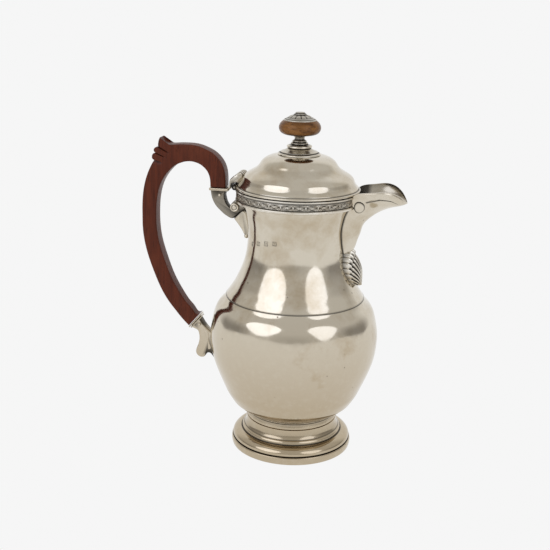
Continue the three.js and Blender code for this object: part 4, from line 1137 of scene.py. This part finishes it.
def closed_spline(points, count):
    """A smooth closed curve: the spline is run three times round and the middle round is kept."""
    p = np.asarray(points, float)
    wide = np.vstack([p, p, p, p[:1]])
    dense = spline(wide, 3 * count + 1)
    lengths = np.linalg.norm(np.diff(wide, axis=0), axis=1)
    start = lengths[: len(p)].sum() / lengths.sum()
    first = int(round(start * 3 * count))
    return dense[first : first + count]


def cast_shape(outline, half, edge, place_y=0.0, steps=6, taper=None):
    """Rings of the outline: moved in by edge (1 - cos a), out to the side by half - edge (1 - sin a).

    taper is a list of heights and the share of the half width kept at each."""
    turn = np.linspace(-np.pi / 2, np.pi / 2, 2 * steps + 1)
    shift = edge * (1 - np.cos(turn))
    side = np.sign(turn) * (half - edge) + edge * np.sin(turn)
    ring = outline[None] + inward(outline)[None] * shift[:, None, None]
    narrow = 1.0 if taper is None else np.interp(ring[..., 1], *taper)
    y = place_y + side[:, None] * narrow
    points = np.stack([ring[..., 0], y + 0 * ring[..., 0], ring[..., 1]], axis=-1)
    n = len(outline)
    faces = grid_faces(points.shape[0], n, False, True)
    faces += [list(range(n)), list(range((points.shape[0] - 1) * n, points.shape[0] * n))]
    return points.reshape(-1, 3), faces


def merged(parts):
    """Several point and face lists as one, each face list moved on by the points before it."""
    points = np.concatenate([p for p, _ in parts])
    starts = np.concatenate([[0], np.cumsum([len(p) for p, _ in parts])])
    faces = [[i + int(s) for i in face] for (_, f), s in zip(parts, starts) for face in f]
    return points, faces


def rows_of(parts):
    """For each part of a merged list, 1 on its own points and 0 elsewhere."""
    counts = [len(points) for points, _ in parts]
    return np.repeat(np.eye(len(parts)), counts, axis=1)


def disc_shape(x, z, profile, segments=40):
    """A small turned shape whose axis lies across the pot: profile is (radius, y)."""
    grid = turned_points(np.asarray(profile, float), segments)
    points = np.stack([x + grid[..., 0], grid[..., 2], z + grid[..., 1]], axis=-1)
    return points.reshape(-1, 3), grid_faces(*grid.shape[:2], True, False)


# %% Upper socket
collar_x = (span("upper_handle_pin")[0][0] + span("upper_handle_pin")[1][0]) / 2
collar_top = span("upper_socket")[1][2]
collar_outline = ease(
    [
        (collar_x - 6.9, collar_top - 1.9),
        (collar_x + 6.3, collar_top - 1.9),
        (collar_x + 6.3, collar_top),
        (collar_x - 6.9, collar_top),
    ],
    0.75, 8,
)
cup_outline = closed_spline(
    [
        (-58.2, 176.6), (-58.2, 174.0), (-57.5, 170.8), (-56.1, 167.6), (-54.4, 165.1), (-52.0, 162.6),
        (-49.4, 160.3), (-46.8, 158.6), (-44.4, 157.6), (-42.4, 158.0), (-40.4, 160.0), (-38.4, 162.6),
        (-38.8, 164.2), (-41.8, 163.8), (-45.2, 164.8), (-47.6, 167.6), (-48.8, 171.0), (-49.0, 174.0),
        (-48.0, 176.6), (-53.0, 176.9),
    ],
    220,
)
cup = cast_shape(cup_outline, 3.8, 0.7, steps=8, taper=([158, 166, 176], [0.62, 0.85, 1.0]))
VOLUTE = (-41.8, 165.7)
volute_profile = [
    (0, -5.6), (1.1, -5.55), (1.5, -5.3), (1.75, -5.3), (2.3, -5.6), (2.8, -5.35), (3.0, -4.9),
    (3.0, 4.9), (2.8, 5.35), (0, 5.6),
]
volute = disc_shape(*VOLUTE, ease(volute_profile, 0.3, 3, closed=False))
strap_outline = closed_spline(
    [
        (-44.2, 167.3), (-42.8, 169.4), (-40.6, 171.0), (-38.2, 171.2), (-36.6, 168.0), (-35.6, 163.8),
        (-38.0, 162.4), (-40.4, 163.4), (-41.2, 165.4), (-42.4, 166.2),
    ],
    90,
)
strap = cast_shape(strap_outline, 3.6, 0.5, steps=3)
collar = cast_shape(collar_outline, 6.6, 0.7)
UPPER_PARTS = [collar, cup, volute, strap]
upper_points, upper_faces = merged(UPPER_PARTS)
_, cup_rows, volute_rows, strap_rows = rows_of(UPPER_PARTS)
round_volute = np.linalg.norm(upper_points[:, [0, 2]] - VOLUTE, axis=1)
volute_shade = np.clip(1 - np.abs(round_volute - 3.1) / 0.3, 0, 1)
volute_shade = volute_shade + np.clip(1 - np.abs(round_volute - 1.62) / 0.4, 0, 1)
# painted shade: the strap is darkened all over
volute_shade = volute_shade * volute_rows + 0.6 * strap_rows
below_collar = np.clip(1 - np.abs(upper_points[:, 2] - collar_top + 2.1) / 0.9, 0, 1) * cup_rows


def joint_shade(points):
    """1 on the slanted line where the socket meets its leaf, falling to 0 within a millimetre of it."""
    across = (points[:, 0] + 42.3) * 0.72 - (points[:, 2] - 158.0) * 0.694
    return np.clip(1.5 - np.abs(across) / 0.6, 0, 1) * (points[:, 2] < 164.5)


edge_z, edge_x = [163.8, 164.8, 167.6, 171.0, 174.0, 176.6], [-41.8, -45.2, -47.6, -48.8, -49.0, -48.0]
past_edge = upper_points[:, 0] - np.interp(upper_points[:, 2], edge_z, edge_x)
# painted shade: the cup's right face, towards the neck, is darkened
right_face_painted_shade = np.clip((past_edge + 0.8) / 0.4, 0, 1) * (upper_points[:, 2] > 164.0) * cup_rows
# painted shade: the whole cup is darkened as well
upper_shade = 0.6 * cup_rows + 0.35 * right_face_painted_shade + 0.4 * below_collar + volute_shade
upper_shade = upper_shade + joint_shade(upper_points)
finish_piece(
    "upper_handle_socket", upper_points, upper_faces, ["upper_socket"], HANDLED,
    np.clip(upper_shade, 0, 1), sharp=45.0,
)

# %% Leaf below the upper socket
leaf_outline = closed_spline(
    [
        (-42.2, 157.7), (-40.9, 155.6), (-38.7, 152.6), (-36.6, 149.2), (-35.1, 146.6), (-33.9, 146.0),
        (-32.4, 146.4), (-32.0, 152.0), (-33.2, 158.0), (-35.4, 163.0), (-37.0, 163.4), (-39.8, 160.6),
    ],
    140,
)
leaf = cast_shape(leaf_outline, 3.3, 0.9, taper=([146, 158], [0.5, 1.0]))
BEAD = (-34.3, 145.6)
bead_turn = np.linspace(-np.pi / 2, np.pi / 2, 15)
leaf_bead = disc_shape(*BEAD, np.stack([1.55 * np.cos(bead_turn), 1.9 * np.sin(bead_turn)], axis=1))
leaf_points, leaf_faces = merged([leaf, leaf_bead])
round_bead = np.linalg.norm(leaf_points[:, [0, 2]] - BEAD, axis=1)
leaf_shade = np.clip(1 - np.abs(round_bead - 1.8) / 0.5, 0, 0.9)
leaf_shade = np.maximum(leaf_shade, joint_shade(leaf_points))
finish_piece(
    "socket_leaf", leaf_points, leaf_faces, ["upper_socket_drop"], HANDLED, leaf_shade, 45.0
)

# %% Lower socket
LEAN = math.radians(-40.5)
lean_along = np.array([math.cos(LEAN), math.sin(LEAN)])
lean_across = np.array([-lean_along[1], lean_along[0]])
grip_end = np.array([-(BOWL_RADIUS + 12.4), FOOT_TOP + 0.715 * (SHOULDER_Z - FOOT_TOP)])


def lower(a, b):
    """A point a millimetres along the grip's end and b across it."""
    return grip_end + a * lean_along + b * lean_across


def grip_ring(near, far, below, above, half):
    """A flat ring round the grip, between two distances along it and two across it."""
    corners = [lower(near, below), lower(far, below), lower(far, above), lower(near, above)]
    return cast_shape(ease(corners, 0.4, 6), half, 0.4)


ring_one = grip_ring(0.3, 1.3, -7.0, 5.2, 4.3)
ring_two = grip_ring(1.7, 2.6, -6.5, 4.7, 3.9)
lower_outline = closed_spline(
    [
        lower(2.0, -5.7), lower(4.8, -5.2), (-67.6, 76.6), (-66.3, 73.6), (-66.2, 69.8), (-67.1, 65.8),
        (-68.4, 62.2), (-68.3, 59.4), (-66.6, 57.4), (-64.0, 56.8), (-62.2, 57.6), (-61.2, 59.2),
        (-59.8, 60.4), (-58.2, 60.2), (-56.6, 58.6), (-55.2, 57.0), (-54.0, 59.6), (-54.2, 68.0),
        (-55.4, 73.0), (-57.0, 75.4), (-59.2, 77.0), (-61.6, 79.4), lower(5.0, 2.2), lower(2.0, 2.8),
    ],
    260,
)
bracket = cast_shape(lower_outline, 3.7, 1.1, taper=([58, 66, 78], [0.95, 0.85, 1.0]))
ridge_outline = closed_spline(
    [(-61.5, 76.0), (-60.6, 76.2), (-59.2, 70.0), (-58.3, 63.4), (-58.8, 63.2), (-60.0, 69.6)], 60
)
ridge = cast_shape(ridge_outline, 3.75, 0.3, steps=3)
LOWER_PARTS = [ring_one, ring_two, bracket, ridge]
lower_points, lower_faces = merged(LOWER_PARTS)
lower_shade = np.clip(1 - np.abs((lower_points[:, [0, 2]] - lower(1.5, 0)) @ lean_along) / 0.45, 0, 1)
bracket_rows = rows_of(LOWER_PARTS)[2]
first, last = np.flatnonzero(bracket_rows)[[0, -1]]
bracket_rows[first : first + len(lower_outline)] = 0.0
bracket_rows[last + 1 - len(lower_outline) : last + 1] = 0.0
along_grip = (lower_points[:, [0, 2]] - grip_end) @ lean_along
across_grip = (lower_points[:, [0, 2]] - grip_end) @ lean_across
# painted shade: the bracket's upper face under the grip is darkened, standing in for the shade and dark
# reflection there
upper_face_painted_shade = bracket_rows * np.clip((across_grip - 0.6) / 0.8, 0, 1) * np.clip((16.5 - along_grip) / 2, 0, 1)
# painted shade: the bracket's lower end by the bowl is darkened
arch_painted_shade = np.clip(62.6 - lower_points[:, 2], 0, 1) * np.clip((lower_points[:, 0] + 62.3) / 0.8, 0, 1)
lower_shade = np.clip(lower_shade + 0.85 * upper_face_painted_shade + 0.95 * arch_painted_shade, 0, 1)
finish_piece(
    "lower_handle_socket", lower_points, lower_faces, ["lower_socket"], HANDLED, lower_shade, 45.0
)

# %% [markdown]
# ## Pins and hinge
# A silver pin through each socket holds the wood, with its ends hammered to
# low domes. The lid's hinge is three knuckles on one pin, all with their axis
# across the pot, so each is a small turned shape laid on its side.
#
# %% Pins and hinge


def cross_pin(name, node, head, material, body="pot", shank=0.9):
    """A pin across the pot, its box giving centre and length, with a dome of one quarter turn at each end."""
    low, high = span(node)
    centre, reach_y = (low + high) / 2, high[1] + head
    dome = np.linspace(0, np.pi / 2, 8)
    half_pin = np.stack([shank * np.sin(dome), reach_y - 0.5 * (1 - np.cos(dome))], axis=1)
    profile = np.vstack([half_pin * [1, -1], half_pin[::-1]])
    points, faces = disc_shape(centre[0], centre[2], profile, 28)
    finish_piece(name, points, faces, [node], material, None, 60.0, body)


cross_pin("upper_pin", "upper_handle_pin", -0.1, HANDLED)
cross_pin("lower_pin", "lower_handle_pin", -0.1, HANDLED)
cross_pin("hinge_rod", "hinge_pin", 0.0, SHADOWED_DULL, shank=0.78)


def knuckle(name, node, body):
    """A tube across the pot: outside, eased ends and the bore, as one closed profile of (radius, y)."""
    low, high = span(node)
    centre = (low + high) / 2
    outer, bore, a, b = (high[0] - low[0]) / 2 - 0.02, 0.92, low[1], high[1]
    profile = ease([(bore, a), (outer, a), (outer, b), (bore, b)], 0.35, 5)
    grid = turned_points(profile, 40)
    points = np.stack([centre[0] + grid[..., 0], grid[..., 2], centre[2] + grid[..., 1]], axis=-1)
    # painted shade: each knuckle is darkened all over, and more at its ends where it meets the next
    dark = np.clip(1.2 - np.minimum(profile[:, 1] - a, b - profile[:, 1]) / 0.5, 0.5, 1)
    finish_grid(name, points, (True, True), [node], "dull_silver", SHADOWED_DULL, dark, body=body)


knuckle("left_knuckle", "hinge_barrel_left", "pot")
knuckle("right_knuckle", "hinge_barrel_right", "pot")
knuckle("lid_knuckle", "hinge_barrel_lid", "lid_assembly")

# %% [markdown]
# ## Lid
# The lid is spun from sheet: a moulded brim, a soft step, a hollow sweep and a
# low dome, closed by the stem of the finial. Its brim is scooped out round the
# hinge. Inside, a ring called the bezel fits the mouth, and a nut holds the
# finial's rod.
#
# %% Lid
LID_Z = span("lid")[0][2]
LID_TOP = span("lid")[1][2]
brim = [(-1.7, 0.0), (-0.35, 0.02), (-0.12, 0.45), (-0.2, 1.0), (-0.85, 1.25), (-1.35, 1.5), (-1.45, 1.75)]
rise = spline(
    [
        (-1.5, 2.1), (-2.1, 2.75), (-3.0, 3.7), (-4.15, 5.6), (-5.0, 7.7), (-7.2, 9.85), (-11.7, 12.5),
        (-14.9, 15.2), (-17.0, 18.2), (-19.7, 20.45), (-24.0, 22.1), (-28.2, 22.85),
    ],
    130,
)
lid_outside = np.vstack([ease(brim, 0.3, 4, closed=False), rise]) + [BAND_RADIUS, LID_Z]
bore = 1.7
under = [
    (bore, 21.3), (16.8, 20.8), (21.9, 18.4), (25.3, 14.2), (31.8, 9.4), (35.0, 7.4), (35.7, 4.4),
    (36.6, 1.2), (36.7, 0.0),
]
lid_profile = np.vstack([
    lid_outside,
    [(bore, LID_TOP)],
    np.asarray(under) + [0.0, LID_Z],
])
lid_dark = hollows(lid_profile, 0.35, 1.1)
# painted shade: the brim's flat underside, over the seam with the band, is almost black
lid_dark[lid_profile[:, 1] < LID_Z + 0.12] = 0.95
fine_line = np.exp(-(((lid_profile[:, 1] - LID_Z - 1.62) / 0.22) ** 2))
fine_line = fine_line * (lid_profile[:, 0] > BAND_RADIUS - 2)
lid_dark = np.maximum(lid_dark, 0.75 * fine_line)
turn_piece("domed_lid", lid_profile, ["lid"], "silver", POLISHED, 256, lid_dark, scoop, body="lid_assembly")

# %% Bezel and nut
bezel_low, bezel_high = span("lid_bezel")
bezel_r = bezel_high[1]
bezel_profile = ease(
    [
        (bezel_r - 1.6, bezel_low[2]),
        (bezel_r - 0.6, bezel_low[2] + 0.1),
        (bezel_r - 0.5, bezel_low[2] + 0.8),
        (bezel_r - 0.5, bezel_high[2]),
        (bezel_r - 1.6, bezel_high[2]),
    ],
    0.4, 4,
)
turn_piece("lid_bezel_ring", bezel_profile, ["lid_bezel"], "dull_silver", SHADOWED_DULL, body="lid_assembly")
nut_low, nut_high = span("finial_nut")
nut_profile = ease(
    [(bore, nut_low[2]), (4.1, nut_low[2]), (4.1, nut_high[2]), (bore, nut_high[2])], 0.35, 3
)
turn_piece("rod_nut", nut_profile, ["finial_nut"], "dull_silver", SHADOWED_DULL, 6, body="lid_assembly", sharp=25.0)

# %% [markdown]
# ## Finial
# A silver stem like a small baluster carries a flattened wooden knob, and a
# silver flower with a button caps it; its rod runs down through the wood to
# the nut. The stem is rings and hollows, so its profile is a list of small
# rounded steps. The flower's petals are a cosine round the rim.
#
# %% Stem
stem_foot = span("finial_stem")[0][2]
stem_side = ease(
    [
        (14.1, 0.0), (14.1, 0.55), (13.7, 0.95), (12.4, 1.25), (12.25, 1.75), (12.0, 2.0), (10.4, 2.45),
        (9.0, 3.1), (8.1, 3.75), (7.3, 4.05), (7.3, 4.2), (8.3, 4.8), (8.2, 5.8), (6.0, 6.4), (5.3, 6.6),
        (5.75, 7.1), (5.6, 7.6), (4.4, 7.9), (4.2, 8.1), (4.85, 8.55), (4.7, 9.0), (3.6, 9.35),
        (3.15, 10.1), (3.3, 11.0), (4.0, 11.9), (5.2, 12.6), (5.3, 13.2),
    ],
    0.4, 4, closed=False,
)
stem_profile = np.vstack([stem_side, [(bore, 13.2), (bore, 0.0)]]) + [0.0, stem_foot]
stem_dark = hollows(stem_profile, 0.5, 0.9)
turn_piece(
    "finial_baluster", stem_profile, ["finial_stem"], "silver", HANDLED, 128, stem_dark, body="lid_assembly"
)

# %% Knob
knob_low, knob_high = span("finial_knob")
knob_r = knob_high[1] + 0.35
knob_side = spline(
    [(-6.6, -0.5), (-3.4, -0.1), (-1.2, 1.2), (-0.1, 3.5), (-0.25, 5.4), (-1.3, 7.3), (-2.9, 8.8)], 60
) + [knob_r, 0.0]
knob_side[:, 0] = np.minimum(knob_side[:, 0], knob_r - 0.01)
knob_profile = np.vstack([knob_side, [(bore, 8.8), (bore, -0.5)]]) + [0.0, knob_low[2]]
# painted shade: the knob is darkened towards its bottom edge
knob_painted_shade = 0.75 * np.clip(1 - (knob_profile[:, 1] - knob_low[2]) / 1.6, 0, 1)
turn_piece(
    "wooden_knob", knob_profile, ["finial_knob"], "knob_wood", KNOB_WOOD, 160, knob_painted_shade, body="lid_assembly"
)

# %% Flower cap
cap_low, cap_high = span("finial_cap")
cap_r, cap_base = cap_high[1], knob_high[2]
PETALS = 12
CAP_SEGMENTS = 288
cap_side = np.array([
    (0, 0.05), (0, 0.45), (-0.45, 0.75), (-1.0, 0.85), (-1.15, 1.05), (-1.6, 1.45), (-2.4, 1.6),
    (-2.7, 1.75), (-3.2, 2.3), (-4.2, 2.9), (-5.4, 3.3), (-6.3, 3.45), (-6.55, 3.6), (-6.6, 4.2),
    (-6.9, 4.35), (-7.4, 4.4), (-7.55, 4.6), (-7.6, 4.95), (-7.9, 5.2),
]) + [cap_r, 0.0]
cap_side = ease(cap_side, 0.2, 4, closed=False) + [0.0, cap_base]
rod = 1.5
rod_side = [(0.0, cap_low[2]), (rod, cap_low[2]), (rod, cap_base + 0.02)]
cap_profile = np.vstack([rod_side, cap_side, [(0.0, cap_high[2])]])
cap_profile[:, 1] = np.minimum(cap_profile[:, 1], cap_high[2])
cap_grid = turned_points(cap_profile, CAP_SEGMENTS)
cap_turn = np.linspace(0, 2 * np.pi, CAP_SEGMENTS, endpoint=False)[:, None]
petal = np.abs(np.cos(0.5 * PETALS * cap_turn)) ** 0.6
on_petal = np.interp(cap_profile[:, 0] - cap_r, [-6.2, -5.2, -3.2, -2.5], [0, 1, 1, 0])
on_petal = on_petal * (cap_profile[:, 1] > cap_base + 1.6)
cap_grid[..., 2] -= 0.75 * on_petal[None] * (1 - petal)
between_petals = on_petal[None] * np.clip((0.75 - petal) / 0.4, 0, 1)
cap_dark = np.maximum(0.3 + hollows(cap_profile, 0.35, 1.1)[None], between_petals)
finish_grid(
    "flower_cap", cap_grid, (True, False), ["finial_cap"], "silver", RELIEF, cap_dark, 60.0, "lid_assembly"
)

# %% [markdown]
# ## Thumbpiece
# A cast leaf stands on the lid in front of the hinge and curls over it, for
# the thumb to press. Its side outline is repeated in layers across the pot,
# each as wide as the leaf is at that height, and each drawn in a little more
# towards the edges and in the flutes that run along its top.
#
# %% Thumbpiece
leaf_side = closed_spline(
    [
        (-5.5, 1.0), (-5.6, 4.6), (-5.6, 7.0), (-5.2, 9.0), (-4.1, 9.9), (-2.4, 9.95), (-0.7, 8.7),
        (0.9, 7.4), (2.3, 6.2), (3.5, 5.0), (4.1, 3.7), (4.3, 2.0), (4.35, 0.2), (4.1, -1.1), (3.5, -1.8),
        (2.9, -1.3), (2.65, -0.2), (2.5, 0.9), (1.9, 1.9), (0.9, 2.5), (-0.6, 2.5), (-2.0, 1.9),
        (-2.7, 0.9), (-4.0, 0.7),
    ],
    160,
)
LAYERS = 81
leaf_wide = np.interp(leaf_side[:, 1], [1.4, 3.2, 5.4, 7.6, 9.6, 10.6], [6.4, 6.6, 7.4, 8.0, 7.4, 6.0])
layer = np.linspace(-1, 1, LAYERS)[:, None]
flute = np.abs(np.cos(2.0 * np.pi * layer))
on_top = np.clip((leaf_side[None, :, 1] - 2.9) / 1.0, 0, 1)
inset = 0.65 * (1 - np.sqrt(1 - np.abs(layer) ** 4.0)) + 0.55 * (1 - flute**0.7) * on_top
leaf_in = inward(leaf_side)
thumb_back = leaf_side[None, :, 0] + leaf_in[None, :, 0] * inset
thumb_up = leaf_side[None, :, 1] + leaf_in[None, :, 1] * inset
thumb_across = layer * leaf_wide[None] + 0 * inset
thumb_grid = np.stack([HINGE_X - thumb_back, thumb_across, HINGE_Z + thumb_up], axis=-1)
thumb_shade = 0.14 + np.clip((0.55 - flute) / 0.25, 0, 0.8) * on_top
# painted shade: the leaf's underside over the hinge is darkened
painted_shade_over_hinge = np.clip((2.7 - leaf_side[:, 1]) / 0.8, 0, 0.7) * (np.abs(leaf_side[:, 0]) < 2.7)
thumb_shade = np.maximum(thumb_shade, painted_shade_over_hinge[None])
columns_round = thumb_grid.shape[1]
thumb_faces = grid_faces(*thumb_grid.shape[:2], False, True)
thumb_faces += [list(range(columns_round)), list(range((LAYERS - 1) * columns_round, LAYERS * columns_round))]
finish_piece(
    "thumb_leaf", thumb_grid.reshape(-1, 3), thumb_faces, ["thumbpiece"], RELIEF,
    thumb_shade.reshape(-1), 60.0, "lid_assembly",
)
